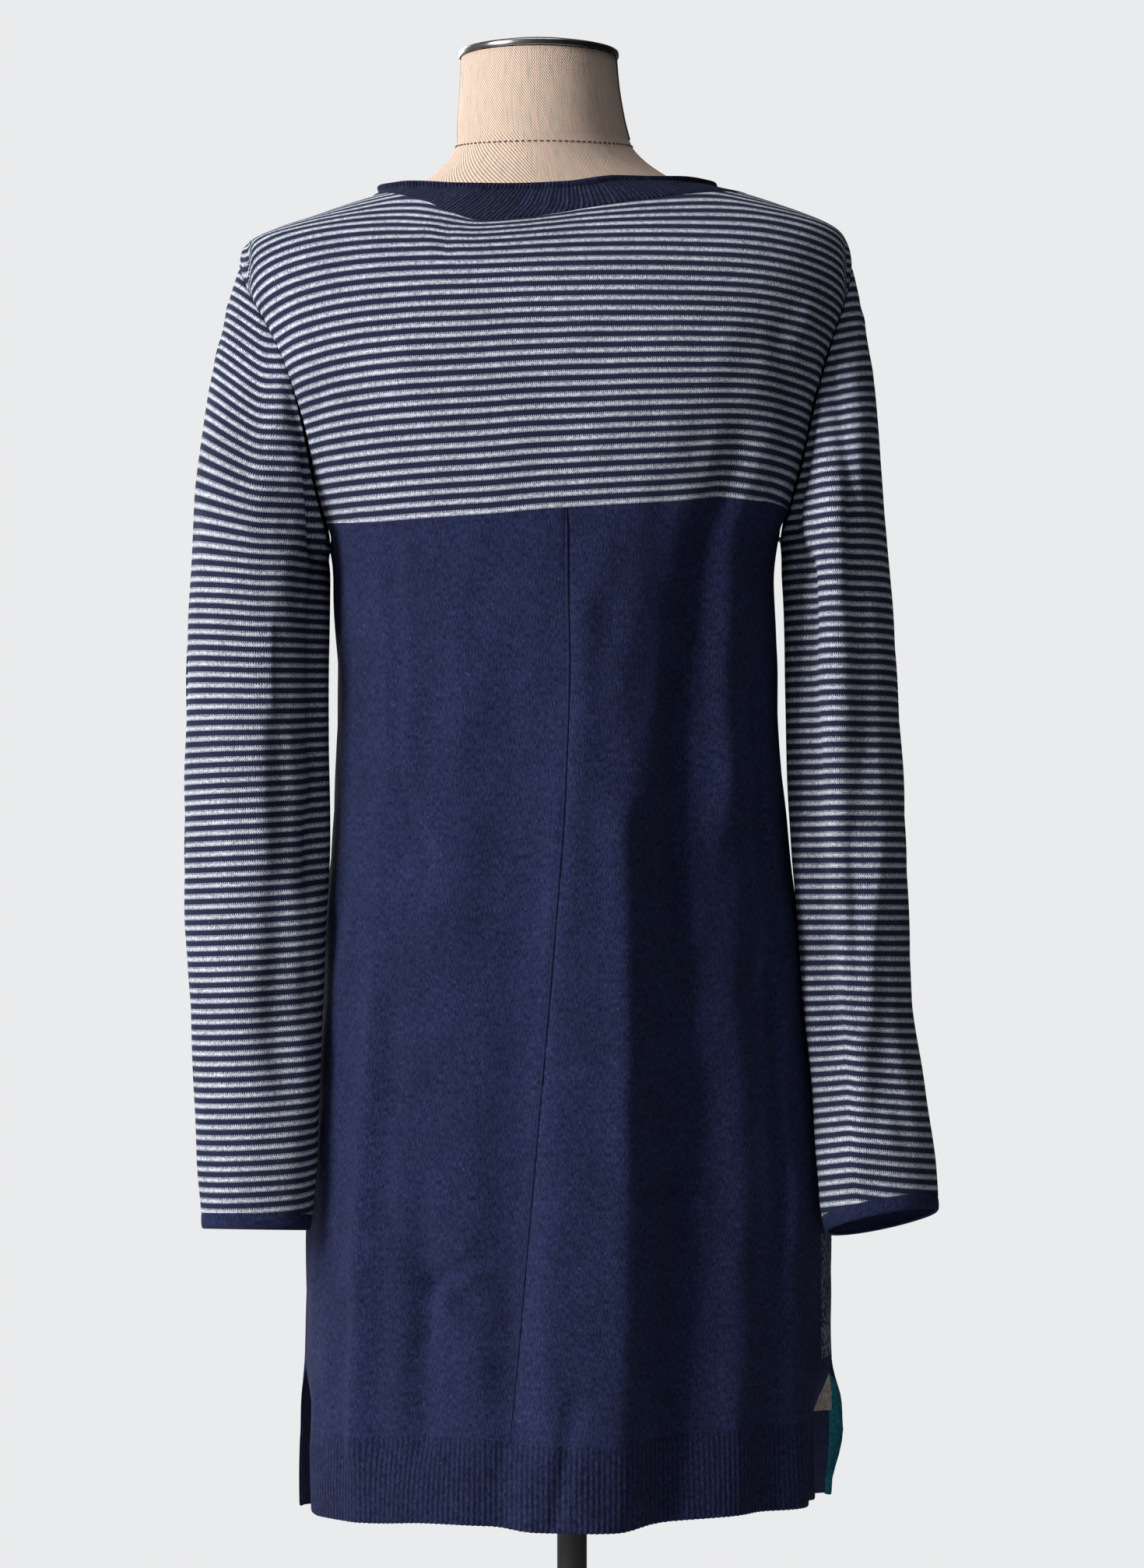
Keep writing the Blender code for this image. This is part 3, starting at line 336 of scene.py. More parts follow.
SLEEVE_LEFT_CREASES = table(
    CREASE_COLUMNS,
    (
        (70.0, 1.3440, 76.0, 1.2650, 0.0060, 0.0022),
        (98.0, 1.3350, 106.0, 1.2600, 0.0060, -0.0026),
        (124.0, 1.2400, 132.0, 1.1700, 0.0070, 0.0020),
        (60.0, 1.1600, 96.0, 1.1380, 0.0070, -0.0010),
        (64.0, 1.1000, 92.0, 1.0850, 0.0060, 0.0008),
        (40.0, 1.0300, 86.0, 1.0120, 0.0075, -0.0011),
        (128.0, 1.0450, 160.0, 1.0250, 0.0070, -0.0012),
        (52.0, 0.9450, 90.0, 0.9300, 0.0070, 0.0009),
        (120.0, 0.9050, 150.0, 0.8850, 0.0070, -0.0012),
        (62.0, 0.8550, 98.0, 0.8480, 0.0060, -0.0009),
        (250.0, 1.0200, 290.0, 1.0000, 0.0080, -0.0012),
        (240.0, 0.9000, 280.0, 0.8900, 0.0080, 0.0010),
        (134.0, 1.2900, 138.0, 0.9500, 0.0120, -0.0070),
        (156.0, 1.2700, 158.0, 0.9500, 0.0110, -0.0085),
        (103.0, 1.2300, 106.0, 1.0600, 0.0090, 0.0045),
        (96.2, 1.2803, 113.1, 1.1626, 0.0050, -0.0015),
        (79.7, 1.2727, 89.9, 1.1922, 0.0070, 0.0030),
        (98.0, 1.1000, 99.0, 0.9600, 0.0090, 0.0040),
        (138.0, 0.9800, 140.0, 0.8600, 0.0110, -0.0040),
    ),
)
SLEEVE_RIGHT_CREASES = table(
    CREASE_COLUMNS,
    (
        (60.0, 0.9630, 109.0, 0.7640, 0.0090, 0.0019),
        (84.0, 1.3300, 92.0, 1.2600, 0.0060, 0.0020),
        (112.0, 1.3000, 126.0, 1.2100, 0.0070, -0.0024),
        (56.0, 1.1400, 92.0, 1.1220, 0.0070, -0.0010),
        (70.0, 1.0600, 104.0, 1.0420, 0.0070, 0.0009),
        (60.0, 0.9900, 98.0, 0.9720, 0.0070, -0.0011),
        (110.0, 0.9300, 140.0, 0.9080, 0.0070, -0.0010),
        (76.0, 0.8420, 60.0, 0.7800, 0.0080, -0.0014),
        (250.0, 1.0400, 290.0, 1.0200, 0.0080, -0.0012),
        (250.0, 0.8800, 285.0, 0.8700, 0.0080, 0.0010),
        (140.0, 1.1500, 138.0, 0.8500, 0.0130, -0.0100),
        (156.0, 1.1200, 156.0, 0.9000, 0.0120, -0.0050),
        (93.0, 1.0200, 88.0, 0.8000, 0.0080, -0.0028),
        (128.0, 1.2700, 146.0, 1.1700, 0.0090, -0.0040),
        (65.1, 1.2935, 80.7, 1.1320, 0.0045, -0.0028),
        (89.0, 1.2775, 102.6, 0.9877, 0.0100, 0.0030),
        (67.4, 1.1522, 92.7, 0.8635, 0.0070, -0.0018),
        (63.4, 0.9629, 113.3, 0.7646, 0.0080, 0.0022),
    ),
)
# Each side's own sizes: the sign of X, the tables of its sleeve, how far its armhole cuts into the back
# and the front, the height of the sleeve's end and how it leans, where its stripes bow and from what
# height, and how deep the hollow beside its seam is.
SIDES = {
    "left": {
        "sign": 1, "rows": SLEEVE_LEFT, "folds": SLEEVE_LEFT_FOLDS, "creases": SLEEVE_LEFT_CREASES,
        "back_cut": 30.0, "front_cut": 32.0, "end": 0.7232, "lean_out": 0.0005, "lean_back": 0.0020,
        "seam_turn": 12, "bow": 0.12, "bow_top": 1.16, "hollow": 0.0100,
    },
    "right": {
        "sign": -1, "rows": SLEEVE_RIGHT, "folds": SLEEVE_RIGHT_FOLDS, "creases": SLEEVE_RIGHT_CREASES,
        "back_cut": 22.0, "front_cut": 30.0, "end": 0.7283, "lean_out": 0.0068, "lean_back": 0.0072,
        "seam_turn": -64, "bow": 0.14, "bow_top": 0.95, "hollow": 0.0035,
    },
}
# How far, and over what width, the yoke's stripes droop beside an armhole.
DROOP = table(
    ("height", "left_drop", "left_reach", "right_drop", "right_reach"),
    (
        (1.1800, 0.0030, 0.0260, 0.0030, 0.0240), (1.2200, 0.0060, 0.0260, 0.0060, 0.0240),
        (1.2600, 0.0110, 0.0260, 0.0105, 0.0280), (1.3000, 0.0180, 0.0290, 0.0155, 0.0330),
        (1.3400, 0.0270, 0.0350, 0.0210, 0.0420), (1.3600, 0.0300, 0.0380, 0.0230, 0.0450),
    ),
)
# The form below the neck: how far it stays inside the cloth beyond its clearance.
FORM_SLACK = table(
    ("height", "side", "back", "front"),
    (
        (1.4000, 0.0000, 0.0000, 0.0000), (1.3600, 0.0000, 0.0000, 0.0000),
        (1.3400, 0.0050, 0.0000, 0.0000), (1.3000, 0.0170, 0.0000, 0.0005),
        (1.2600, 0.0220, 0.0000, 0.0010), (1.2100, 0.0180, 0.0010, 0.0005),
        (1.1680, 0.0120, 0.0030, 0.0010), (1.1000, 0.0180, 0.0140, 0.0120),
        (1.0200, 0.0280, 0.0230, 0.0260), (0.9500, 0.0240, 0.0230, 0.0270),
        (0.8500, 0.0160, 0.0210, 0.0250), (0.7350, 0.0240, 0.0270, 0.0320),
    ),
)
FORM_NECK = table(
    SECTION_COLUMNS,
    (
        (1.4317, 0.0185, -0.0010, 0.0568, 0.0545),
        (1.4480, 0.0205, -0.0015, 0.0548, 0.0540),
        (1.4700, 0.0215, -0.0035, 0.0523, 0.0525),
        (1.4880, 0.0219, -0.0055, 0.0512, 0.0515),
    ),
)
# The neckband's edge rolls outwards: how far below its top, and how far out of the band.
BAND_ROLL = table(
    ("down", "out"),
    (
        (0.0000, -0.0010), (0.0003, 0.0003), (0.0007, 0.0012), (0.0012, 0.0019), (0.0018, 0.0024),
        (0.0024, 0.0026), (0.0030, 0.0025), (0.0036, 0.0021), (0.0042, 0.0013), (0.0046, 0.0006),
        (0.0050, 0.0000), (0.0055, -0.0001), (0.0065, 0.0000),
    ),
)
# Below the roll: the share of the height that is left, and how far out of the band.
BAND_FOOT = table(
    ("share", "out"),
    (
        (0.85, 0.0000), (0.66, 0.0001), (0.48, 0.0002), (0.30, 0.0003), (0.16, 0.0003), (0.06, 0.0001),
        (0.00, -0.0004),
    ),
)
# A sleeve's band, from the sleeve to its end: the share of its length, and how far out it swells.
CUFF_SWELL = table(
    ("share", "out"),
    (
        (0.00, 0.0000), (0.15, 0.0003), (0.40, 0.0005), (0.65, 0.0005), (0.85, 0.0003), (0.94, 0.0000),
        (1.00, -0.0006),
    ),
)
# Rings of the form's rounded lower edge and of the cap: the share of the width, and the rise.
FORM_FOOT = ((0.900, 0.0000), (0.955, 0.0009), (0.985, 0.0032))
CAP_RINGS = (
    (0.985, 0.0003), (1.020, 0.0005), (1.029, 0.0011), (1.030, 0.0034), (1.025, 0.0043), (1.012, 0.0048),
    (0.985, 0.0052), (0.900, 0.0062), (0.700, 0.0083), (0.400, 0.0096), (0.050, 0.0098),
)
# The base and its hub, as the radius and height of each ring.
BASE_PROFILE = (
    (BASE_RADIUS - 0.0015, 0.0), (BASE_RADIUS - 0.0004, 0.0004), (BASE_RADIUS, 0.0015),
    (BASE_RADIUS, BASE_THICKNESS - 0.0034), (BASE_RADIUS - 0.0010, BASE_THICKNESS - 0.0012),
    (BASE_RADIUS - 0.0035, BASE_THICKNESS), (BASE_RADIUS - 0.0060, BASE_THICKNESS + 0.0002),
    (HUB_RADIUS + 0.010, BASE_THICKNESS + 0.0040), (HUB_RADIUS + 0.004, BASE_THICKNESS + 0.0055),
    (HUB_RADIUS + 0.0006, BASE_THICKNESS + 0.0085), (HUB_RADIUS, BASE_THICKNESS + 0.0110),
    (HUB_RADIUS, HUB_TOP - 0.0024), (HUB_RADIUS - 0.0006, HUB_TOP - 0.0007),
    (HUB_RADIUS - 0.0022, HUB_TOP),
)

NAVY = (0.0225, 0.0300, 0.0900)
DULL_NAVY = (0.0215, 0.0280, 0.0700)
HEM_NAVY = (0.0165, 0.0220, 0.0650)
BAND_NAVY = (0.0175, 0.0225, 0.0560)
OFF_WHITE = (0.800, 0.850, 0.970)
LINT = (0.30, 0.31, 0.38)
LINEN = (0.605, 0.485, 0.398)
BROWN_LINEN = (0.590, 0.415, 0.330)
DARK_THREAD = (0.10, 0.07, 0.05)
PIPING = (0.12, 0.085, 0.07)
TEAL = (0.012, 0.165, 0.230)
TAUPE = (0.410, 0.380, 0.340)
MELANGE = (0.46, 0.50, 0.60)
# Colour blocks at the front's edge: from and to across, from and to up, colour, flecked or not.
FRONT_BLOCKS = (
    (-0.01, 0.0230, 0.5200, 0.6220, TEAL, False),
    (0.0200, 0.0520, 0.5900, 0.6400, TAUPE, False),
    (-0.01, 0.0440, 0.6400, 0.7200, MELANGE, True),
)
# The back's edge beside the flecked block: from and to along X, from and to in height.
FLECKED_EDGE = (-0.20, -0.1605, 0.6400, 0.7200)

# Soft lights of the studio: place, what it points at, width and height, watts, colour.
LIGHTS = (
    ("key", (2.82, 1.78, 2.15), (0.0, 0.0, 1.02), (1.2, 2.0), 166.0, (1.0, 0.985, 0.965)),
    ("top", (0.1, 0.35, 3.3), (0.0, 0.0, 1.2), (1.4, 1.0), 16.0, (0.97, 0.985, 1.0)),
    ("front_fill", (1.8, -3.0, 2.2), (0.0, 0.0, 1.0), (1.6, 2.0), 70.0, (1.0, 0.99, 0.98)),
)
BACKDROP = (0.825, 0.830, 0.840, 1)
SKY = (0.94, 0.96, 1.0, 1)
FLOOR_RADIUS = 1.9
FLOOR_DROP = 0.0002


def smooth(rows, name, at):
    """The column of a table at any height or angle: a curve through its rows that never overshoots."""
    names = list(rows)
    places = rows[names[0]]
    values = rows[name]
    at = np.clip(np.asarray(at, float), places[0], places[-1])
    steps = np.diff(places)
    rises = np.diff(values) / steps
    before = np.concatenate([rises[:1], rises])
    after = np.concatenate([rises, rises[-1:]])
    product = before * after
    total = np.where(before + after == 0, 1, before + after)
    slopes = np.where(product > 0, 2 * product / total, 0)
    i = np.clip(np.searchsorted(places, at, side="right") - 1, 0, len(steps) - 1)
    t = (at - places[i]) / steps[i]
    start = values[i] * (1 + 2 * t) * (1 - t) ** 2 + slopes[i] * steps[i] * t * (1 - t) ** 2
    end = values[i + 1] * t * t * (3 - 2 * t) - slopes[i + 1] * steps[i] * t * t * (1 - t)
    return start + end


def ease(t):
    """0 below 0, 1 above 1 and a soft step between."""
    t = np.clip(t, 0, 1)
    return t * t * (3 - 2 * t)


def bell(t):
    """1 at 0 and next to nothing from 2 on, either way."""
    return np.exp(-(t ** 2))


def unit(vectors):
    length = np.linalg.norm(vectors, axis=-1, keepdims=True)
    return vectors / np.maximum(length, 1e-12)


def turn_from(place, angle):
    """Degrees from a place to an angle, by the shorter way round."""
    return (angle - place + 180) % 360 - 180


def even_turns(count):
    """Evenly spaced angles round a ring, in degrees."""
    return np.arange(count) * 360 / count


def mean_radius(rows, height, depth="half_depth"):
    return (smooth(rows, "half_width", height) + smooth(rows, depth, height)) / 2


def superellipse(angle, half_width, half_depth, power=1):
    turn = np.radians(angle)
    x = half_width * np.sign(np.cos(turn)) * np.abs(np.cos(turn)) ** power
    y = half_depth * np.sign(np.sin(turn)) * np.abs(np.sin(turn)) ** power
    return x, y


def section_middle(rows, height):
    return np.stack([smooth(rows, "centre_x", height), smooth(rows, "centre_y", height), height], -1)


def section_point(rows, sign, angle, height):
    """A point of a sleeve or the neck by its sections, at an angle from its outer side by the back."""
    x, y = superellipse(angle, smooth(rows, "half_width", height), smooth(rows, "half_depth", height))
    x = sign * x + smooth(rows, "centre_x", height)
    return np.stack([x, y + smooth(rows, "centre_y", height), height + 0 * x], -1)


def body_base(angle, height):
    """A point of the dress's body before its folds."""
    angle = np.asarray(angle, float)
    height = np.asarray(height, float)
    behind = np.sin(np.radians(angle)) >= 0
    depth = np.where(behind, smooth(BODY, "back_depth", height), smooth(BODY, "front_depth", height))
    x, y = superellipse(angle, smooth(BODY, "half_width", height), depth, 2 / SQUARENESS)
    return np.stack([x + smooth(BODY, "centre_x", height), y, height + 0 * x], -1)


def surface_normal(surface, angle, height, turn=0.4, rise=0.0008):
    """Outward direction of a surface given by angle and height."""
    round_it = surface(angle + turn, height) - surface(angle - turn, height)
    up_it = surface(angle, height + rise) - surface(angle, height - rise)
    return unit(np.cross(round_it, up_it))


def fold_depth(folds, angle, height, radius):
    """How far the folds move a point out of the cloth."""
    along = (height - FOLD_LOW) / (FOLD_TOP - FOLD_LOW)
    held = np.clip(along, 0, 1)
    moved = 0 * angle * height
    for i in range(len(folds["order"])):
        fold = {name: column[i] for name, column in folds.items()}
        place = fold["low_angle"] + (fold["top_angle"] - fold["low_angle"]) * np.clip(along, -0.2, 1.2)
        width = fold["low_width"] + (fold["top_width"] - fold["low_width"]) * held
        depth = fold["low_depth"] + (fold["top_depth"] - fold["low_depth"]) * held
        upper = ease((fold["upper_end"] - height) / fold["upper_fade"])
        lower = ease((height - fold["lower_end"]) / fold["lower_fade"])
        away = np.radians(turn_from(place, angle)) * radius
        moved = moved + depth * upper * lower * bell(away / width)
    return moved


def crease_depth(creases, angle, height, radius):
    """How far the fine creases move a point out of the cloth."""
    moved = 0 * angle * height
    for row in zip(*(creases[name] for name in CREASE_COLUMNS)):
        angle_from, height_from, angle_to, height_to, width, depth = row
        across = np.radians(turn_from(angle_from, angle)) * radius
        up = height - height_from
        run = math.radians(angle_to - angle_from) * radius
        rise = height_to - height_from
        along = np.clip((across * run + up * rise) / (run * run + rise * rise), 0, 1)
        away = np.hypot(across - along * run, up - along * rise)
        moved = moved + depth * bell(away / width)
    return moved


def ripple(across, up):
    """The faint unevenness of a hanging knit."""
    fine = np.sin(across * 92 + 3.1 * np.sin(up * 17)) + np.sin(up * 61 + across * 33 + 1.7)
    finer = np.sin(across * 171 - up * 74 + 0.6) + 0.7 * np.sin(across * 263 + 2.2 * np.sin(up * 31) + 2.0)
    return 0.00032 * fine + 0.00026 * finer


def slit_share(height):
    """0 above the side slits and 1 where they stand fully open."""
    return ease((SLIT_TOP - height) / SLIT_LENGTH_TO_FULL)


def slit_move(angle, height):
    """The back panel's edges turn in at a slit and the front panel's turn out."""
    angle = np.asarray(angle, float) % 360
    turn = np.radians(angle)
    to_side = np.radians(np.minimum(np.minimum(angle, 360 - angle), np.abs(angle - 180))) * SIDE_RADIUS
    inward = np.where(np.cos(turn) > 0, SLIT_LEFT_BACK, SLIT_RIGHT_BACK)
    return slit_share(height) * bell(to_side / SLIT_REACH) * np.where(np.sin(turn) > 0, inward, SLIT_FRONT)


def body_point(angle, height):
    """A point on the dress's outer surface."""
    angle = np.asarray(angle, float)
    height = np.asarray(height, float)
    radius = mean_radius(BODY, height, "back_depth")
    moved = fold_depth(BODY_FOLDS, angle, height, radius) + slit_move(angle, height)
    normal = surface_normal(body_base, angle, height)
    return body_base(angle, height) + normal * moved[..., None]


def armhole_heights(side):
    """Heights of the underarm and of the shoulder's end on one side."""
    start = 0.0 if side == "left" else 180.0
    yoke = yoke_bottom(start)
    low = rib_top(start)
    underarm = low + UNDERARM_SHARE * (yoke - low)
    top = yoke + SHOULDER_SHARE * (neck_seam(start) - yoke)
    return float(underarm), float(top)


def armhole_cut(side, behind, height):
    """Angle by which the armhole cuts in from the side at a height."""
    underarm, top = armhole_heights(side)
    span = top - underarm - 2 * ARMHOLE_END
    t = np.clip((np.asarray(height, float) - underarm - ARMHOLE_END) / span, 0, 1)
    cut = SIDES[side]["back_cut"] if behind else SIDES[side]["front_cut"]
    return cut * np.maximum(np.sin(math.pi * t), 0) ** ARMHOLE_ROUNDNESS


def edge_angle(side, behind, height):
    """Angle of a panel's side edge, half a gap inside the seam, and more at a slit."""
    height = np.asarray(height, float)
    half = SEAM_GAP / 2 + slit_share(height) * SLIT_HALF_GAP
    cut = armhole_cut(side, behind, height) + np.degrees(half / EDGE_RADIUS)
    if side == "left":
        return cut if behind else 360 - cut
    return 180 - cut if behind else 180 + cut


def line_of(rows, name="height", up=0.0):
    """A seam or an edge by the angle, or by the height for an upright one."""
    return lambda at: smooth(rows, name, at) + up


def side_edge(side, behind):
    return lambda height: edge_angle(side, behind, height)


def front_middle(height):
    return 270.0 + 0 * np.asarray(height, float)


yoke_bottom = line_of(YOKE_LINE)
neck_seam = line_of(NECK_SEAM)
neck_edge = line_of(NECK_EDGE)
hem_edge = line_of(HEM_EDGE)
rib_top = line_of(HEM_EDGE, up=RIB_BAND)
centre_back = line_of(CENTRE_BACK, "angle")
BACK_EDGES = (side_edge("left", True), centre_back, side_edge("right", True))
FRONT_EDGES = (side_edge("right", False), front_middle, side_edge("left", False))


class Nodes:
    """Adds nodes to a tree, with values or links for their inputs."""

    def __init__(self, tree):
        self.tree = tree

    def put(self, socket, value):
        if isinstance(value, bpy.types.NodeSocket):
            self.tree.links.new(value, socket)
        else:
            socket.default_value = value

    def add(self, kind, feed=(), **settings):
        """A node with its settings, and what each of its inputs is fed, by name or number."""
        node = self.tree.nodes.new(kind)
        for name, value in settings.items():
            setattr(node, name, value)
        for socket, value in dict(feed).items():
            self.put(node.inputs[socket], value)
        return node

    def maths(self, operation, *values):
        return self.add("ShaderNodeMath", enumerate(values), operation=operation).outputs[0]

    def times(self, first, *others):
        for other in others:
            first = self.maths("MULTIPLY", first, other)
        return first

    def ramp(self, value, slope, start):
        return self.maths("MULTIPLY_ADD", value, slope, start)

    def uneven(self, value, size):
        """A factor that goes from 1 - size to 1 + size as the value goes from 0 to 1."""
        return self.ramp(value, 2 * size, 1 - size)

    def step(self, value, low, high, start=0.0, end=1.0):
        """A soft step from start to end as the value goes from low to high."""
        feed = {"Value": value, "From Min": low, "From Max": high, "To Min": start, "To Max": end}
        return self.add("ShaderNodeMapRange", feed, interpolation_type="SMOOTHSTEP").outputs["Result"]

    def between(self, value, low, high):
        """1 between two values and 0 outside them, with a soft edge."""
        return self.times(
            self.step(value, low - BLOCK_EDGE, low + BLOCK_EDGE),
            self.step(value, high - BLOCK_EDGE, high + BLOCK_EDGE, 1.0, 0.0),
        )

    def wave(self, value, count, start=0.5):
        """A wave from 0 to 1 that repeats count times a unit of the value, low where it starts at 0.5."""
        turn = self.ramp(value, 2 * math.pi * count, 2 * math.pi * start)
        return self.ramp(self.maths("COSINE", turn), 0.5, 0.5)

    def parts(self, vector):
        return self.add("ShaderNodeSeparateXYZ", {0: vector}).outputs

    def object_place(self):
        return self.add("ShaderNodeTexCoord").outputs["Object"]

    def cloth_place(self):
        """Where a point lies in the cloth, in metres across and up."""
        return self.add("ShaderNodeUVMap", uv_map="knit").outputs["UV"]

    def noise(self, scale, detail=2.0, vector=None):
        if vector is None:
            vector = self.object_place()
        feed = {"Vector": vector, "Scale": scale, "Detail": detail, "Roughness": 0.5}
        return self.add("ShaderNodeTexNoise", feed).outputs["Fac"]

    def streaks(self, across, up, detail=2.0):
        """Noise drawn out along the threads: its marks to the metre across and up the cloth."""
        feed = {0: self.cloth_place(), 1: (across, up, 0.0)}
        drawn = self.add("ShaderNodeVectorMath", feed, operation="MULTIPLY")
        return self.noise(1.0, detail, drawn.outputs["Vector"])

    def mix(self, share, first, second):
        colours = {
            socket: (*value, 1) if isinstance(value, tuple) else value
            for socket, value in ((6, first), (7, second))
        }
        return self.add("ShaderNodeMix", {0: share, **colours}, data_type="RGBA").outputs[2]

    def scaled(self, vector, factor):
        """A colour made lighter or darker, or a direction made longer or shorter, by a factor."""
        made = self.add("ShaderNodeVectorMath", {0: vector, "Scale": factor}, operation="SCALE")
        return made.outputs["Vector"]

    def colour(self, value):
        node = self.add("ShaderNodeRGB")
        node.outputs[0].default_value = (*value, 1)
        return node.outputs[0]

    def bump(self, height, distance):
        feed = {"Strength": 1.0, "Distance": distance, "Height": height}
        return self.add("ShaderNodeBump", feed).outputs["Normal"]


def new_material(name, roughness, metallic=0.0, sheen=0.0, specular=0.5, coat=0.0):
    material = bpy.data.materials.new(name)
    material.use_nodes = True
    shader = material.node_tree.nodes["Principled BSDF"]
    for socket, value in (
        ("Roughness", roughness), ("Metallic", metallic), ("Specular IOR Level", specular),
        ("Sheen Weight", sheen), ("Sheen Roughness", 0.45), ("Coat Weight", coat),
    ):
        shader.inputs[socket].default_value = value
    return material, Nodes(material.node_tree), shader


def new_knit(name):
    return new_material(name, 0.94, sheen=0.02, specular=0.08)


def finish(maker, shader, **sockets):
    """Links a material's patterns to its shader, each by the socket's name."""
    for name, value in sockets.items():
        maker.put(shader.inputs[name.replace("_", " ")], value)


def knitting(maker):
    """The knit's own pattern where a point lies in the cloth: its place across in metres, the stitch
    count across, the row count with each stitch's V, and the height of the yarn."""
    place = maker.parts(maker.cloth_place())
    wale = maker.maths("DIVIDE", place["X"], WALE)
    edge = maker.times(maker.maths("PINGPONG", wale, 0.5), 2.0)
    rows = maker.maths("SUBTRACT", maker.maths("DIVIDE", place["Y"], COURSE), maker.times(edge, 0.55))
    yarn = maker.maths("ABSOLUTE", maker.maths("SINE", maker.times(rows, math.pi)))
    leg = maker.wave(wale, 2.0)
    lift = maker.times(maker.maths("POWER", yarn, 0.6), maker.ramp(leg, 0.6, 0.4))
    return place["X"], wale, rows, lift


def finish_cloth(maker, shader, colour, lift, depth=0.00045, grain=1.3, nap=0.6):
    """Colour with painted shade where the yarn lies low between stitches and rows, an uneven nap and a
    little lint, and the bump of the stitches.
    """
    mottle = maker.streaks(1000.0, 330.0)
    tufts = maker.noise(260.0, 3.0)
    # painted shade: the colour is darker where the yarn dips between stitches and rows; the noises after it
    # are the knit's own uneven tone
    light = maker.ramp(lift, 0.55, 0.62)
    for noise, size in ((mottle, grain), (tufts, nap), (maker.noise(24.0, 3.0), 0.28)):
        light = maker.times(light, maker.uneven(noise, size))
    lint = maker.times(maker.step(maker.noise(560.0, 1.0), 0.70, 0.78), 0.14)
    colour = maker.mix(lint, maker.scaled(colour, light), LINT)
    fuzz = maker.maths("ADD", lift, maker.ramp(tufts, 1.5, mottle))
    finish(maker, shader, Base_Color=colour, Normal=maker.bump(fuzz, depth))


def block(maker, across, up, start, end, low, high):
    """1 inside a block of the knitting between two distances across and two heights."""
    return maker.times(maker.between(across, start, end), maker.between(up, low, high))


def plain_knit_material(name, flecked_edge=False):
    """Plain navy; where the back meets the front's flecked block, its edge has the same flecks."""
    material, maker, shader = new_knit(name)
    lift = knitting(maker)[-1]
    colour = maker.colour(NAVY)
    if flecked_edge:
        place = maker.parts(maker.object_place())
        edge = block(maker, place["X"], place["Z"], *FLECKED_EDGE)
        strong = maker.step(place["Z"], 0.6560, 0.6700, 0.75, 0.35)
        speck = maker.step(maker.noise(420.0, 2.0), 0.44, 0.56)
        colour = maker.mix(maker.times(edge, strong, speck), colour, MELANGE)
    finish_cloth(maker, shader, colour, lift)
    return material


def stripe_place(maker):
    """The stitch count across, how far a row lies from its white stripe's middle, and the yarn's height."""
    _, wale, rows, lift = knitting(maker)
    share = maker.maths("FRACT", maker.times(rows, COURSE / STRIPE_PITCH))
    away = maker.maths("ABSOLUTE", maker.maths("SUBTRACT", share, STRIPE_MIDDLE))
    return wale, away, lift


def striped_material():
    """Each white stripe is a bright band of whole stitches between two dotted rows."""
    material, maker, shader = new_material("striped knit", 0.92, sheen=0.02, specular=0.10)
    wale, away, lift = stripe_place(maker)
    band = maker.step(away, 0.105, 0.145, 1.0, 0.0)
    dots = maker.step(maker.wave(wale, 1.0), 0.30, 0.56)
    dotted = maker.times(maker.step(away, 0.230, 0.275, 0.90, 0.0), dots)
    worn = maker.step(maker.noise(620.0, 2.0), 0.34, 0.60, 0.50, 1.0)
    white = maker.times(maker.maths("MAXIMUM", band, dotted), worn)
    finish_cloth(maker, shader, maker.mix(white, DULL_NAVY, OFF_WHITE), lift, grain=0.35, nap=0.20)
    return material


def striped_inside_material():
    """The wrong side of the stripes, with the white yarn's short floats."""
    material, maker, shader = new_material("striped knit inside", 0.95, sheen=0.02, specular=0.08)
    wale, away, lift = stripe_place(maker)
    dash = maker.step(maker.maths("FRACT", maker.maths("DIVIDE", wale, 3.0)), 0.45, 0.55)
    white = maker.times(maker.step(away, 0.12, 0.19, 1.0, 0.0), dash)
    finish_cloth(maker, shader, maker.mix(white, DULL_NAVY, OFF_WHITE), lift, grain=0.35, nap=0.20)
    return material


def front_material():
    """Plain navy with a few blocks of colour by the wearer's right hem."""
    material, maker, shader = new_knit("front knit")
    across, _, rows, lift = knitting(maker)
    up = maker.times(rows, COURSE)
    colour = maker.colour(NAVY)
    speck = maker.step(maker.noise(420.0, 2.0), 0.42, 0.58)
    for start, end, low, high, tint, flecked in FRONT_BLOCKS:
        inside = block(maker, across, up, start, end, low, high)
        if flecked:
            inside = maker.times(inside, speck)
        colour = maker.mix(inside, colour, tint)
    finish_cloth(maker, shader, colour, lift)
    return material


def rib_material(name, navy, pitch, rib_shade_and_streaks=0.10, depth=0.0005, teal_edge=0.0):
    """Ribbed knit: plain stitches, painted shade between the ribs, uneven streaks along them and, on the
    front, a teal strip at one edge.
    """
    material, maker, shader = new_knit(name)
    across, _, _, lift = knitting(maker)
    crest = maker.wave(maker.maths("DIVIDE", across, pitch), 1.0, 0.0)
    lift = maker.maths("ADD", maker.times(lift, 0.5), maker.times(crest, 0.5))
    # painted shade: the colour is darker in the hollows between the ribs and lighter on their crests; the
    # streaks after it are the ribs' own uneven tone
    colour = maker.scaled(maker.colour(navy), maker.uneven(crest, rib_shade_and_streaks))
    colour = maker.scaled(colour, maker.uneven(maker.streaks(420.0, 25.0), 2 * rib_shade_and_streaks))
    if teal_edge:
        strip = maker.step(across, teal_edge - BLOCK_EDGE, teal_edge + BLOCK_EDGE, 1.0, 0.0)
        colour = maker.mix(strip, colour, TEAL)
    finish_cloth(maker, shader, colour, lift, depth)
    return material


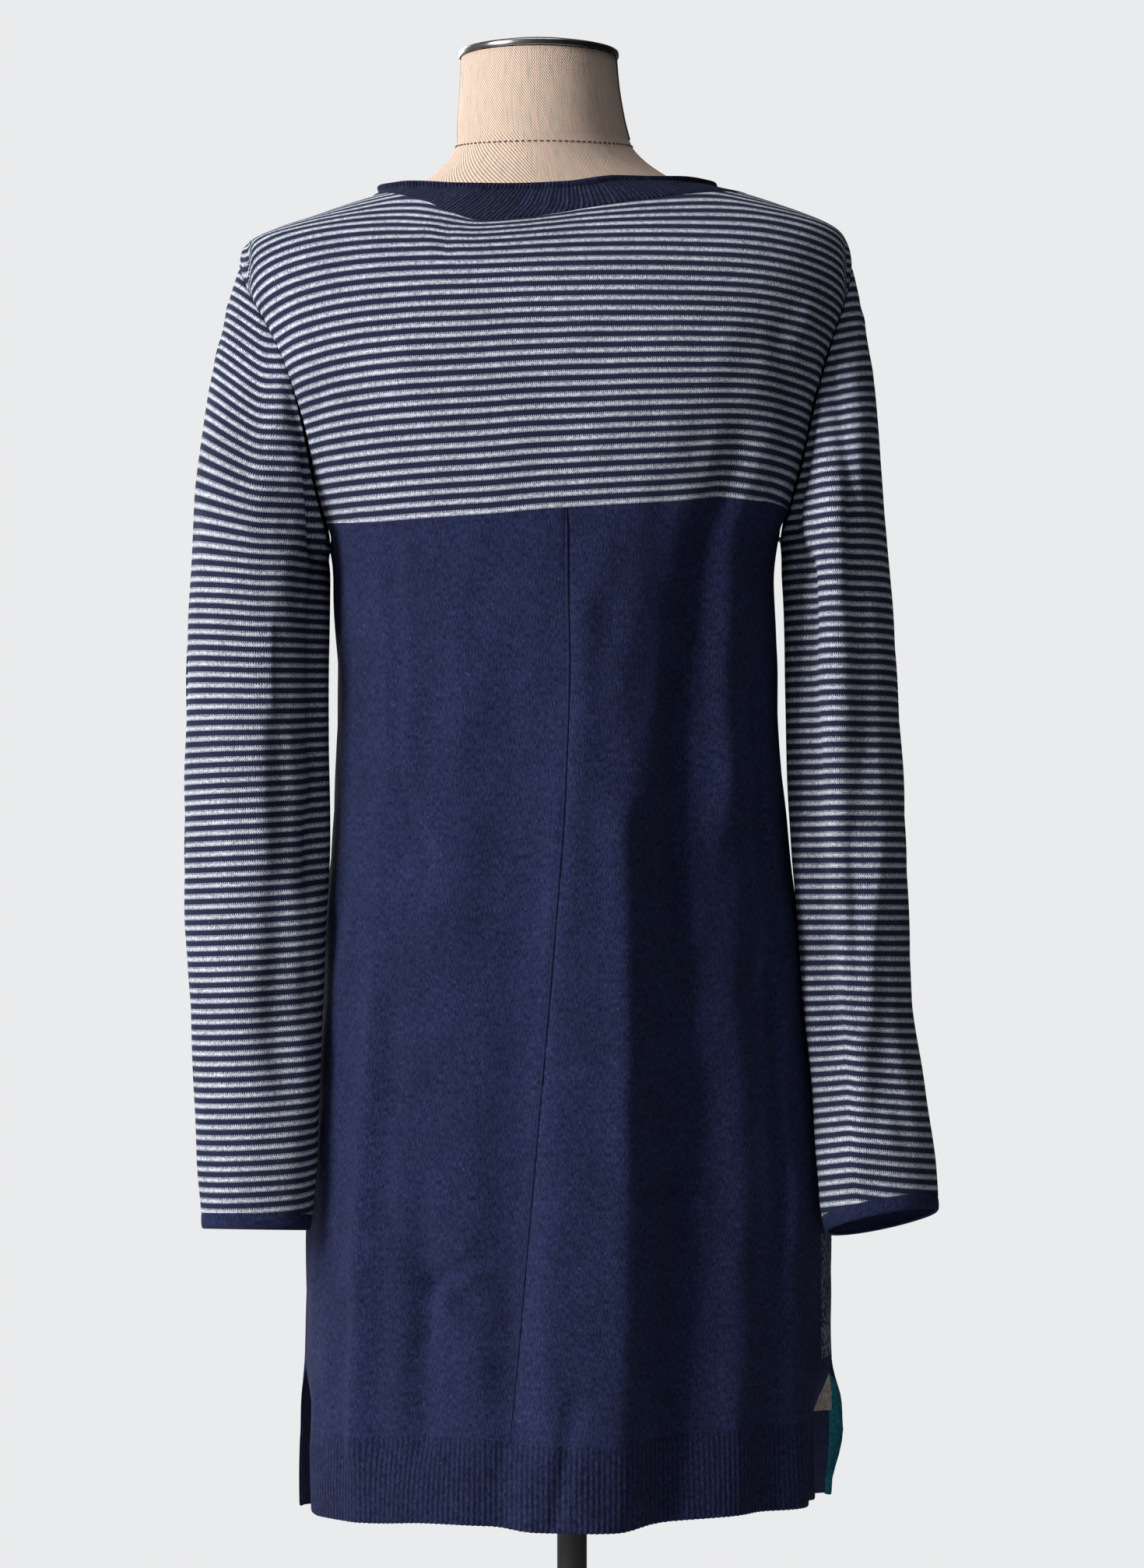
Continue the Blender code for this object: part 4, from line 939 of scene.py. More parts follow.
def linen_material():
    """Natural linen twill: fine diagonal lines, thicker threads up and down, uneven warm colour."""
    material, maker, shader = new_material("linen", 0.85, sheen=0.10, specular=0.2)
    place = maker.parts(maker.cloth_place())
    slant = maker.maths("ADD", place["X"], maker.times(place["Y"], 0.7))
    twill = maker.wave(slant, 1 / 0.0016)
    threads = maker.wave(place["X"], 1 / 0.0008)
    slub = maker.streaks(700.0, 60.0, 3.0)
    light = maker.times(
        maker.ramp(twill, 0.90, 0.55),
        maker.ramp(slub, 1.10, 0.46),
        maker.uneven(maker.noise(30.0, 3.0), 0.07),
    )
    colour = maker.mix(maker.step(slub, 0.40, 0.66), LINEN, BROWN_LINEN)
    height = maker.maths("ADD", maker.times(twill, 0.6), maker.maths("ADD", maker.times(threads, 0.3), slub))
    finish(maker, shader, Base_Color=maker.scaled(colour, light), Normal=maker.bump(height, 0.00035))
    return material


def metal_material():
    """Dark polished metal with faint marks."""
    material, maker, shader = new_material("cap metal", 0.3, metallic=1.0)
    marks = maker.noise(60.0, 4.0)
    finish(
        maker, shader,
        Base_Color=maker.mix(marks, (0.21, 0.205, 0.205), (0.30, 0.29, 0.285)),
        Roughness=maker.step(marks, 0.3, 0.7, 0.24, 0.32),
        Normal=maker.bump(maker.noise(700.0, 2.0), 0.00004),
    )
    return material


def black_paint_material():
    """Black satin paint with a fine orange peel and faint rubbed places."""
    material, maker, shader = new_material("black paint", 0.4, coat=0.15)
    rub = maker.noise(18.0, 5.0)
    finish(
        maker, shader,
        Base_Color=maker.mix(maker.step(rub, 0.35, 0.75), (0.024, 0.024, 0.026), (0.034, 0.034, 0.037)),
        Roughness=maker.step(rub, 0.3, 0.8, 0.36, 0.46),
        Normal=maker.bump(maker.noise(900.0, 2.0), 0.00003),
    )
    return material


def thread_material(name, colour):
    material, maker, shader = new_material(name, 0.8, sheen=0.2, specular=0.3)
    worn = maker.step(maker.noise(1800.0, 2.0), 0.3, 0.7, 0.75, 1.15)
    finish(maker, shader, Base_Color=maker.scaled(maker.colour(colour), worn))
    return material


def spread(count):
    """Shares from 0 to 1, closer together at both ends, where the seams are."""
    t = np.arange(count + 1) / count
    return t - 0.75 * np.sin(2 * math.pi * t) / (2 * math.pi)


def column_angles(edges, counts, height):
    """Angles of a panel's columns at one height a column, between its edge curves."""
    angles = []
    k = 0
    for first, last, count in zip(edges[:-1], edges[1:], counts):
        t = spread(count)[:-1]
        z = height[k:k + count]
        angles.append(first(z) + (last(z) - first(z)) * t)
        k += count
    angles.append(np.atleast_1d(edges[-1](height[k:k + 1])))
    return np.concatenate(angles)


def panel_grid(edges, counts, bottom, top, fractions):
    """Angles and heights of a panel's grid, a row for each fraction of its height."""
    columns = sum(counts) + 1
    low = np.full(columns, 0.8)
    high = np.full(columns, 1.3)
    for _ in range(12):
        low = bottom(column_angles(edges, counts, low))
        high = top(column_angles(edges, counts, high))
    heights = np.array([low + (high - low) * f for f in fractions])
    angles = np.array([column_angles(edges, counts, row) for row in heights])
    return angles, heights


def steps_along(points, axis):
    """Length run along a grid of points from its first row or column."""
    step = np.linalg.norm(np.diff(points, axis=axis), axis=-1)
    start = np.zeros_like(np.take(step, [0], axis))
    return np.concatenate([start, np.cumsum(step, axis)], axis)


def middle_run(points, column):
    """Distance along each row from one column."""
    run = steps_along(points, 1)
    return run - run[:, column:column + 1]


def even_fractions(bottom, top, angle, count):
    """Shares of a panel's height that are evenly spaced along its cloth at one angle."""
    samples = 300
    share = np.linspace(0, 1, samples)
    low, high = float(bottom(angle)), float(top(angle))
    run = steps_along(body_base(np.full(samples, float(angle)), low + (high - low) * share), 0)
    return np.interp(np.linspace(0, run[-1], count + 1), run, share)


def closed(grid):
    """A ring's grid with its first column again at its end."""
    return np.concatenate([grid, grid[:, :1]], 1)


def quads(grid):
    """The four corners of each cell of a grid of numbers."""
    return np.stack([grid[:-1, :-1], grid[:-1, 1:], grid[1:, 1:], grid[1:, :-1]], -1).reshape(-1, 4)


def new_piece(name, mesh, materials):
    obj = bpy.data.objects.new(name, mesh)
    bpy.context.scene.collection.objects.link(obj)
    for material in materials:
        mesh.materials.append(material)
    return obj


def carry(piece, node=None):
    """Lets a finished piece ride on the dress, in place of a solid if one is named."""
    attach(piece, "root")
    if node:
        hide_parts(node)


def declare(piece, node):
    carry(piece, node)


def smooth_mesh(mesh, sharp=None):
    """Turns the faces outwards and rounds their shading, but for edges past an angle in degrees."""
    build = bmesh.new()
    build.from_mesh(mesh)
    bmesh.ops.recalc_face_normals(build, faces=build.faces)
    build.to_mesh(mesh)
    build.free()
    mesh.shade_smooth()
    if sharp:
        mesh.set_sharp_from_angle(angle=math.radians(sharp))


def lay_knit(mesh, knit, spots):
    """Stores where each corner of the faces lies in the cloth."""
    places = knit.reshape(-1, 2)[spots.ravel()].astype(np.float32)
    mesh.uv_layers.new(name="knit").data.foreach_set("uv", places.ravel())


def shell(name, outer, inner, knit, ring, materials, sharp=60, fields=None):
    """A thin closed shell between two grids of points. knit is where each point lies in the cloth,
    in metres across and up; a ring has one column more of it. The inside has the second material."""
    rows, columns = outer.shape[:2]
    back = rows * columns
    index = np.arange(back).reshape(rows, columns)
    if ring:
        index = closed(index)
    place = np.arange(index.size).reshape(index.shape)

    def rim(line, shift):
        return np.stack([line[:-1], line[1:], line[1:] + shift, line[:-1] + shift], -1)

    borders = [(index[0], place[0]), (index[-1], place[-1])]
    if not ring:
        borders += [(index[:, 0], place[:, 0]), (index[:, -1], place[:, -1])]
    outside = quads(index)
    faces = np.concatenate([outside, outside[:, ::-1] + back] + [rim(line, back) for line, _ in borders])
    spots = np.concatenate([quads(place), quads(place)[:, ::-1]] + [rim(line, 0) for _, line in borders])
    points = np.concatenate([outer.reshape(-1, 3), inner.reshape(-1, 3)])
    mesh = bpy.data.meshes.new(name)
    mesh.from_pydata(points.tolist(), [], faces.tolist())
    lay_knit(mesh, knit, spots)
    for field, values in (fields or {}).items():
        both = np.concatenate([values.ravel(), 0 * values.ravel() - 1])
        mesh.attributes.new(field, "FLOAT", "POINT").data.foreach_set("value", both.astype(np.float32))
    if len(materials) > 1:
        slots = np.zeros(len(faces), np.int32)
        slots[len(outside):] = 1
        mesh.polygons.foreach_set("material_index", slots)
    smooth_mesh(mesh, sharp)
    return new_piece(name, mesh, materials)


def lofted(name, node, rings, material, around_length):
    """A closed form through rings, its cloth or paint laid round it and up it."""
    rings = np.array(rings)
    count, around = rings.shape[:2]
    index = closed(np.arange(count * around).reshape(count, around))
    place = np.arange(index.size).reshape(index.shape)
    points = rings.reshape(-1, 3).tolist() + [rings[0].mean(0).tolist(), rings[-1].mean(0).tolist()]
    bottom, top = count * around, count * around + 1
    first, last = index[0], index[-1]
    faces = quads(index).tolist()
    faces += [(bottom, int(first[c + 1]), int(first[c])) for c in range(around)]
    faces += [(top, int(last[c]), int(last[c + 1])) for c in range(around)]
    spots = np.concatenate([quads(place).ravel(), np.repeat(0, 6 * around)])
    across = np.arange(around + 1) / around * around_length
    wide = closed(rings)
    mesh = bpy.data.meshes.new(name)
    mesh.from_pydata(points, [], faces)
    lay_knit(mesh, np.stack([across + 0 * wide[..., 0], steps_along(wide, 0)], -1), spots)
    smooth_mesh(mesh, 38)
    carry(new_piece(name, mesh, (material,)), node)


def thread_rings(line, out, side, high, wide):
    """Eight-sided rings of a thread along a line, by its half height and half width."""
    turns = np.radians(even_turns(8))
    across = side[:, None] * (np.cos(turns) * wide)[None, :, None]
    return across + out[:, None] * (np.sin(turns) * high)[None, :, None]


def tube(name, rings, material):
    """A tube through rings of points, closed at both ends."""
    count, around = rings.shape[:2]
    faces = []
    for r in range(count - 1):
        for c in range(around):
            d = (c + 1) % around
            faces.append((r * around + c, r * around + d, (r + 1) * around + d, (r + 1) * around + c))
    faces += [tuple(range(around)), tuple((count - 1) * around + c for c in range(around))]
    mesh = bpy.data.meshes.new(name)
    mesh.from_pydata(rings.reshape(-1, 3).tolist(), [], faces)
    smooth_mesh(mesh)
    carry(new_piece(name, mesh, (material,)))


def new_tree(name, sizes):
    """A tree that takes in a piece's geometry, its named sizes and its material."""
    tree = bpy.data.node_groups.new(name, "GeometryNodeTree")
    sockets = [("Geometry", "INPUT", "Geometry"), *((size, "INPUT", "Float") for size in sizes)]
    sockets += [("Material", "INPUT", "Material"), ("Geometry", "OUTPUT", "Geometry")]
    for label, way, kind in sockets:
        tree.interface.new_socket(label, in_out=way, socket_type="NodeSocket" + kind)
    maker = Nodes(tree)
    return maker, maker.add("NodeGroupInput").outputs


def end_tree(maker, made, material):
    """Makes a tree's copies real, gives them their material and hands the tree over."""
    real = maker.add("GeometryNodeRealizeInstances", {"Geometry": made})
    feed = {"Geometry": real.outputs["Geometry"], "Material": material}
    painted = maker.add("GeometryNodeSetMaterial", feed)
    maker.add("NodeGroupOutput", {"Geometry": painted.outputs["Geometry"]})
    return maker.tree


def rib_tree():
    """Raises ribs on cloth, by each point's distance across the knitting and its rib's strength."""
    maker, given = new_tree("ribs", ("Pitch", "Height"))

    def stored(name):
        field = maker.add("GeometryNodeInputNamedAttribute", {"Name": name}, data_type="FLOAT")
        return field.outputs["Attribute"]

    turns = maker.maths("DIVIDE", stored("across"), given["Pitch"])
    wave = maker.maths("COSINE", maker.times(turns, 2 * math.pi))
    crest = maker.maths("POWER", maker.ramp(wave, 0.5, 0.5), 0.7)
    size = maker.times(maker.times(crest, given["Height"]), maker.maths("MAXIMUM", stored("swell"), 0.0))
    normal = maker.add("GeometryNodeInputNormal").outputs["Normal"]
    feed = {"Geometry": given["Geometry"], "Offset": maker.scaled(normal, size)}
    moved = maker.add("GeometryNodeSetPosition", feed)
    return end_tree(maker, moved.outputs["Geometry"], given["Material"])


def stitch_tree():
    """A row of short threads along a line, by their pitch, length and radius."""
    maker, given = new_tree("stitch_row", ("Pitch", "Length", "Radius"))
    curve = maker.add("GeometryNodeMeshToCurve", {"Mesh": given["Geometry"]})
    feed = {"Curve": curve.outputs["Curve"], "Length": given["Pitch"]}
    dots = maker.add("GeometryNodeCurveToPoints", feed, mode="LENGTH")
    thread = maker.add("GeometryNodeMeshUVSphere", {"Segments": 6, "Rings": 4, "Radius": given["Radius"]})
    long = maker.maths("DIVIDE", given["Length"], maker.times(given["Radius"], 2.0))
    size = maker.add("ShaderNodeCombineXYZ", {"X": 1.0, "Y": 1.0, "Z": long})
    feed = {"Geometry": thread.outputs["Mesh"], "Scale": size.outputs["Vector"]}
    drawn = maker.add("GeometryNodeTransform", feed)
    feed = {"Points": dots.outputs["Points"], "Instance": drawn.outputs["Geometry"]}
    feed["Rotation"] = dots.outputs["Rotation"]
    placed = maker.add("GeometryNodeInstanceOnPoints", feed)
    return end_tree(maker, placed.outputs["Instances"], given["Material"])


def run_tree(obj, tree, values):
    """Runs a tree on a piece and keeps its result as the piece's plain mesh."""
    modifier = obj.modifiers.new("made", "NODES")
    modifier.node_group = tree
    for item in tree.interface.items_tree:
        if item.in_out == "INPUT" and item.name in values:
            modifier[item.identifier] = values[item.name]
    graph = bpy.context.evaluated_depsgraph_get()
    mesh = bpy.data.meshes.new_from_object(obj.evaluated_get(graph))
    obj.modifiers.remove(modifier)
    old = obj.data
    obj.data = mesh
    bpy.data.meshes.remove(old)
    mesh.name = obj.name


def stitch_row(name, line, tree, material, pitch, length, radius):
    mesh = bpy.data.meshes.new(name)
    mesh.from_pydata(line.tolist(), [(i, i + 1) for i in range(len(line) - 1)], [])
    obj = new_piece(name, mesh, ())
    run_tree(obj, tree, {"Pitch": pitch, "Length": length, "Radius": radius, "Material": material})
    obj.data.shade_smooth()
    carry(obj)


def seam_tuck(points):
    """How far the sewn edges of a panel draw in, by the distance along each row."""
    run = steps_along(points, 1)
    return (bell(run / SEAM_TUCK_WIDTH) + bell((run[:, -1:] - run) / SEAM_TUCK_WIDTH)) * SEAM_TUCK


def body_cloth(angles, heights, sewn=True, raised=0.0):
    """Outer and inner points of a panel: the dress's form with its creases and drawn-in seams."""
    plain = body_point(angles, heights)
    normal = surface_normal(body_base, angles, heights)
    tilt = surface_normal(body_point, angles, heights, turn=1.2, rise=0.004)
    radius = mean_radius(BODY, heights, "back_depth")
    lift = crease_depth(BODY_CREASES, angles, heights, radius) + raised
    lift = lift + ripple(np.radians(angles) * RIPPLE_RADIUS, heights) * ease((1.34 - heights) / 0.05)
    if sewn:
        lift = lift - seam_tuck(plain) * (1 - ease((SLIT_TOP - heights) / 0.03))
    outer = plain + normal * lift[..., None]
    return outer, outer - unit(normal * 0.3 + tilt * 0.7) * CLOTH


def climb(across, height, behind):
    """Length of the cloth up a line of equal distance from the middle, from the yoke's lower edge on."""
    upright_to = 1.2900
    z = upright_to + (np.maximum(height, upright_to) - upright_to)[..., None] * np.linspace(0, 1, 40)
    half = smooth(BODY, "half_width", z)
    depth = smooth(BODY, "back_depth" if behind else "front_depth", z)
    share = np.abs(across[..., None] - smooth(BODY, "centre_x", z)) / half
    y = depth * np.maximum(1 - share ** SQUARENESS, 0) ** (1 / SQUARENESS)
    run = np.hypot(np.diff(z, axis=-1), np.diff(y, axis=-1)).sum(-1)
    return np.minimum(height, upright_to) - YOKE_FOOT + run


def stripe_rows(angles, heights, points, behind):
    """How far up the yoke's knitting each point lies: a stripe runs where this is the same."""
    tilt = yoke_bottom(angles) - YOKE_FOOT
    rise = climb(points[..., 0], heights, behind) - tilt * (1 - 0.6 * ease((heights - 1.19) / 0.17))
    for side in SIDES:
        _, top = armhole_heights(side)
        z = np.minimum(heights, top)
        seam = body_base(edge_angle(side, behind, z), z)[..., 0]
        away = np.maximum(SIDES[side]["sign"] * (seam - points[..., 0]), 0)
        drop = smooth(DROOP, side + "_drop", heights)
        rise = rise + drop * np.exp(-away / smooth(DROOP, side + "_reach", heights))
    # The neckband's seam pulls the rows just under it towards one row.
    seam = neck_seam(angles)
    at_seam = climb(body_base(angles, seam)[..., 0], seam, behind)
    pull = 0.6 * np.maximum(0.2200 - at_seam, -0.003)
    return rise + pull * np.exp(-np.maximum(seam - heights, 0) / 0.011)


def make_yokes(striped, striped_inside):
    for name, edges, counts, rows, angle, area in (
        ("back_yoke", BACK_EDGES, BACK_COLUMNS, 96, 22.0, 0.087),
        ("front_yoke", FRONT_EDGES, (56, 56), 70, 338.0, 0.088),
    ):
        fractions = even_fractions(yoke_bottom, neck_seam, angle, rows)
        angles, heights = panel_grid(edges, counts, yoke_bottom, neck_seam, fractions)
        outer, inner = body_cloth(angles, heights)
        plain = body_base(angles, heights)
        rows_up = stripe_rows(angles, heights, plain, edges is BACK_EDGES)
        knit = np.stack([middle_run(plain, counts[0]), rows_up], -1)
        piece = shell(name + "_knit", outer, inner, knit, False, (striped, striped_inside))
        declare(piece, name)


def skirt_shares(rows):
    """Shares of the skirt's height from the hem's rib up, closer together under the yoke."""
    return np.concatenate([np.linspace(0, 0.94, rows), np.linspace(0.95, 1, 15)])


def make_skirt(left_knit, right_knit, front_knit, seam_knit):
    angles, heights = panel_grid(BACK_EDGES, BACK_COLUMNS, rib_top, yoke_bottom, skirt_shares(120))
    middle = BACK_COLUMNS[0]
    across = middle_run(body_base(angles, heights), middle)
    for name, part, material, width, area in (
        ("back_left", slice(0, middle + 1), left_knit, 0.22, 0.123),
        ("back_right", slice(middle, None), right_knit, 0.30, 0.141),
    ):
        outer, inner = body_cloth(angles[:, part], heights[:, part])
        knit = np.stack([across[:, part], heights[:, part] - YOKE_FOOT], -1)
        piece = shell(name + "_knit", outer, inner, knit, False, (material,))
        declare(piece, name)
    seam_ridge(outer[:, 0], seam_knit)
    angles, heights = panel_grid(FRONT_EDGES, (60, 60), rib_top, yoke_bottom, skirt_shares(96))
    outer, inner = body_cloth(angles, heights)
    knit = np.stack([steps_along(body_base(angles, heights), 1), heights], -1)
    piece = shell("front_panel_knit", outer, inner, knit, False, (front_knit,))
    declare(piece, "front_panel")


def seam_ridge(line, material):
    """The narrow ridge between the two grooves of the centre-back seam."""
    line = line[::2]
    along = unit(np.gradient(line, axis=0))
    out = unit(line * np.array([1, 1, 0]) * np.array([0.2, 1, 0]))
    side = unit(np.cross(out, along))
    out = unit(np.cross(along, side))
    place = np.arange(len(line))
    fade = ease(place / 8) * ease((len(line) - 1 - place) / 3)
    ring = thread_rings(line, out, side, 0.0007, 0.0011)
    points = (line + out * 0.0004)[:, None] + ring * (0.2 + 0.8 * fade)[:, None, None]
    tube("centre_back_seam", points, material)


def make_hem_ribs(back_rib, front_rib, ribs):
    shares = np.array([0, 0.012, 0.03, 0.08, 0.2, 0.35, 0.5, 0.65, 0.78, 0.86, 0.92, 0.96, 1])
    round_off = -0.0005 * np.exp(-shares / 0.012)
    for name, edges, counts, area, rib_knit in (
        ("back_hem_rib", BACK_EDGES, (336, 456), 0.0235, back_rib),
        ("front_hem_rib", FRONT_EDGES, (400, 400), 0.0275, front_rib),
    ):
        angles, heights = panel_grid(edges, counts, hem_edge, rib_top, shares)
        # Even columns here, because the ribs are evenly spaced.
        columns = np.arange(angles.shape[1]) / (angles.shape[1] - 1)
        run = steps_along(body_base(angles, heights), 1)
        even = columns[None] * run[:, -1:]
        angles = np.array([np.interp(even[r], run[r], angles[r]) for r in range(len(shares))])
        heights = np.array([np.interp(even[r], run[r], heights[r]) for r in range(len(shares))])
        outer, inner = body_cloth(angles, heights, False, round_off[:, None])
        across = columns[None] * run[len(shares) // 2, -1] + 0 * heights
        # Each rib starts at a height of its own and is a little stronger or weaker than the next.
        number = np.floor(across / RIB_PITCH + 0.5)
        start = 0.90 + 0.06 * np.sin(number * 12.9898) * np.sin(number * 4.1414)
        swell = ease((start - shares[:, None]) / 0.09) * (0.88 + 0.12 * np.sin(number * 2.7))
        knit = np.stack([across, heights], -1)
        fields = {"across": across, "swell": swell}
        piece = shell(name + "_knit", outer, inner, knit, False, (rib_knit,), 75, fields)
        run_tree(piece, ribs, {"Pitch": RIB_PITCH, "Height": RIB_HEIGHT, "Material": rib_knit})
        declare(piece, name)


def make_neckband(band_knit):
    """A ring round the neck opening whose upper edge rolls outwards."""
    angle = even_turns(420)
    low, high = neck_seam(angle), neck_edge(angle)
    length = np.linalg.norm(body_base(angle, high) - body_base(angle, low), axis=1)
    upper = 1 - BAND_ROLL["down"][::-1, None] / length
    shares = np.concatenate([upper[0] * BAND_FOOT["share"][:, None], upper])
    out = np.concatenate([BAND_FOOT["out"], BAND_ROLL["out"][::-1]])[:, None]
    heights = low + (high - low) * shares
    angles = np.tile(angle, (len(shares), 1))
    uneven = 1 + 0.14 * np.sin(np.radians(angle) * 5 + 1.2) + 0.10 * np.sin(np.radians(angle) * 11)
    lift = out * np.where(out > 0.0005, uneven, 1)
    plain = body_point(angles, heights)
    normal = surface_normal(body_base, angles, heights)
    outer = plain + normal * (lift + 0.0003)[..., None]
    inner = plain - normal * 0.0014
    wide = closed(outer)
    knit = np.stack([0 * wide[..., 0] + steps_along(wide, 1).mean(0), steps_along(wide, 0)], -1)
    piece = shell("neckband_knit", outer, inner, knit, True, (band_knit,), 70)
    declare(piece, "neckband")


def armhole_ring(side, count):
    """Angles and heights of the armhole: from the shoulder by the back to the underarm and up the front,
    and how many of them lie at the back."""
    underarm, top = armhole_heights(side)
    share = (1 - np.cos(np.linspace(0, math.pi, count + 1))) / 2
    levels = top + (underarm - top) * share
    heights = np.concatenate([levels, levels[-2:0:-1]])
    behind = np.arange(len(heights)) <= count
    cut = np.where(behind, armhole_cut(side, True, heights), armhole_cut(side, False, heights))
    if side == "left":
        return np.where(behind, cut, 360 - cut), heights, count + 1
    return np.where(behind, 180 - cut, 180 + cut), heights, count + 1


def sleeve_end(side, turn):
    """Height of a sleeve's end by the angle round it."""
    own = SIDES[side]
    turn = np.radians(turn)
    return own["end"] + own["lean_out"] * np.cos(turn) + own["lean_back"] * np.sin(turn)


def sleeve_grid(side, rings):
    """Rings of a sleeve from its armhole to its band, and the angles of their points round it."""
    own = SIDES[side]
    rows = own["rows"]
    angles, heights, levels = armhole_ring(side, 56)
    start = body_point(angles, heights)
    steps = np.linalg.norm(np.roll(start, -1, 0) - start, axis=1)
    back = np.concatenate([[0], np.cumsum(steps[:levels - 1])])
    front = np.concatenate([[0], np.cumsum(steps[levels - 1:])])
    turn = np.concatenate([180 * back / back[-1], 180 + 180 * front[1:-1] / front[-1]])
    end = sleeve_end(side, turn) + CUFF_BAND
    first = section_point(rows, own["sign"], turn, start[:, 2])
    grid = []
    for k in range(rings + 1):
        z = start[:, 2] + (end - start[:, 2]) * (k / rings) ** 1.25
        fallen = (start[:, 2] - z) / ARMHOLE_BLEND
        keep = 1 - ease(fallen)
        hung = section_point(rows, own["sign"], turn, z)
        point = hung + (start - first) * keep[:, None] * np.array([1, 1, 0])
        fold = fold_depth(own["folds"], turn, z, mean_radius(rows, z)) * ease(fallen)
        grid.append(point + unit(point - section_middle(rows, z)) * fold[:, None])
    return np.array(grid), turn


def grid_normal(grid):
    """Outward directions of a tube's rings, whose columns run round it."""
    round_it = np.roll(grid, -1, 1) - np.roll(grid, 1, 1)
    down_it = np.gradient(grid, axis=0)
    normal = unit(np.cross(down_it, round_it))
    middle = grid.mean(1, keepdims=True)
    return normal * np.sign(np.sum(normal * (grid - middle), -1).mean())


def sleeve_cloth(side, grid, turn):
    """Outer and inner points of a sleeve: creases, the tuck at its seam and the hollow beside it."""
    own = SIDES[side]
    z = grid[..., 2]
    radius = mean_radius(own["rows"], z)
    normal = grid_normal(grid)
    fallen = steps_along(grid, 0)
    lift = crease_depth(own["creases"], turn + 0 * z, z, radius) * ease(fallen / 0.02)
    lift = lift + ripple(np.radians(turn) * radius, z) * ease(fallen / 0.03)
    lift = lift - SEAM_TUCK * bell(fallen / SEAM_TUCK_WIDTH)
    beside = bell((turn - 128) / 34) + 0.6 * bell((turn - 236) / 30)
    lift = lift - own["hollow"] * beside * bell((fallen - 0.013) / 0.009)
    outer = grid + normal * lift[..., None]
    return outer, outer - normal * CLOTH


def sleeve_knit(side, points, turn):
    """Where each point of a sleeve lies in its knitting, whose stripes bow beside its body side and
    fall towards its outer side."""
    own = SIDES[side]
    z = points[..., 2]
    radius = mean_radius(own["rows"], z)
    seam = 180 + own["seam_turn"] * ease((1.12 - z) / 0.26)
    away = np.radians(180 - np.abs(turn_from(seam, turn))) * radius
    bow = own["bow"] * ease((own["bow_top"] - z) / 0.2) * away ** 2 / (2 * math.pi * radius)
    out_by = own["sign"] * (points[..., 0] - smooth(own["rows"], "centre_x", z))
    if side == "left":
        # Beyond a line down its back the stripes fall steeply, on its inner side they run level.
        outer_part = (out_by + np.hypot(out_by, 0.004)) / 2
        level = z - bow - outer_part * (0.10 + 0.65 * ease((z - 1.13) / 0.16)) * ease((z - 1.0) / 0.13)
    else:
        level = z - bow - 0.24 * ease((z - 1.13) / 0.2) * out_by
    return np.stack([np.radians(turn - 360) * radius, (level - 0.70) * STRIPE_PITCH / SLEEVE_PITCH], -1)


def make_sleeves(striped, striped_inside, rib_knit):
    for side in SIDES:
        grid, turn = sleeve_grid(side, 130)
        outer, inner = sleeve_cloth(side, grid, turn)
        half = len(turn) // 2
        outer, inner = np.roll(outer, -half, 1), np.roll(inner, -half, 1)
        turn = np.roll(turn, -half)
        turn = np.concatenate([np.where(turn < 179.99, turn + 360, turn), [540.0]])
        knit = sleeve_knit(side, closed(outer), turn)
        piece = shell("sleeve_" + side + "_knit", outer, inner, knit, True, (striped, striped_inside))
        declare(piece, "sleeve_" + side)
        make_cuff(side, turn[:-1], rib_knit)


def make_cuff(side, turn, rib_knit):
    """The plain band at the end of a sleeve."""
    own = SIDES[side]
    rows = own["rows"]
    end = sleeve_end(side, turn)
    start = end + CUFF_BAND
    band = []
    for share, out in zip(CUFF_SWELL["share"], CUFF_SWELL["out"]):
        z = start + (end - start) * share
        hung = section_point(rows, own["sign"], turn, z)
        fold = fold_depth(own["folds"], turn % 360, z, mean_radius(rows, z)) + out
        band.append(hung + unit(hung - section_middle(rows, z)) * fold[:, None])
    band = np.array(band)
    wide = closed(band)
    knit = np.stack([steps_along(wide, 1), wide[..., 2]], -1)
    inner = band - grid_normal(band) * 0.0017
    piece = shell("cuff_" + side + "_knit", band, inner, knit, True, (rib_knit,))
    declare(piece, "cuff_" + side)


def form_ring(height, angle):
    """One ring of the form below the cloth."""
    turn = np.radians(angle)
    behind = np.sin(turn) >= 0
    depth_slack = np.where(behind, smooth(FORM_SLACK, "back", height), smooth(FORM_SLACK, "front", height))
    slack = smooth(FORM_SLACK, "side", height) * np.cos(turn) ** 2 + depth_slack * np.sin(turn) ** 2
    z = np.full(len(angle), height)
    normal = surface_normal(body_base, angle, z)
    level = ease((1.32 - height) / 0.04)
    flat = unit(normal * np.array([1, 1, 0]))
    normal = unit(normal * (1 - level) + flat * level)
    slack = slack + FACET_ROOM * ease((height - 1.30) / 0.04)
    return body_base(angle, z) - normal * (WALL + FORM_CLEARANCE + slack)[:, None]


def neck_ring(height, angle):
    return section_point(FORM_NECK, 1, angle, height)


def torso_top(angle, share):
    """A ring of the form's shoulders between the cloth and its neck, at a share of that height."""
    low = form_ring(FORM_SHOULDER, angle)
    high = neck_ring(FORM_SEAM, angle)
    ring = low + (high - low) * (1 - (1 - share) ** 1.4)
    ring[:, 2] = low[:, 2] + (FORM_SEAM - low[:, 2]) * share ** 1.5
    return ring


def stepped_rings(ring, steps, base):
    """Level rings of another ring's shape: each a share of its width and a rise above a base."""
    middle = ring.mean(0)
    rings = []
    for share, rise in steps:
        level = middle + (ring - middle) * share
        level[:, 2] = base + rise
        rings.append(level)
    return rings


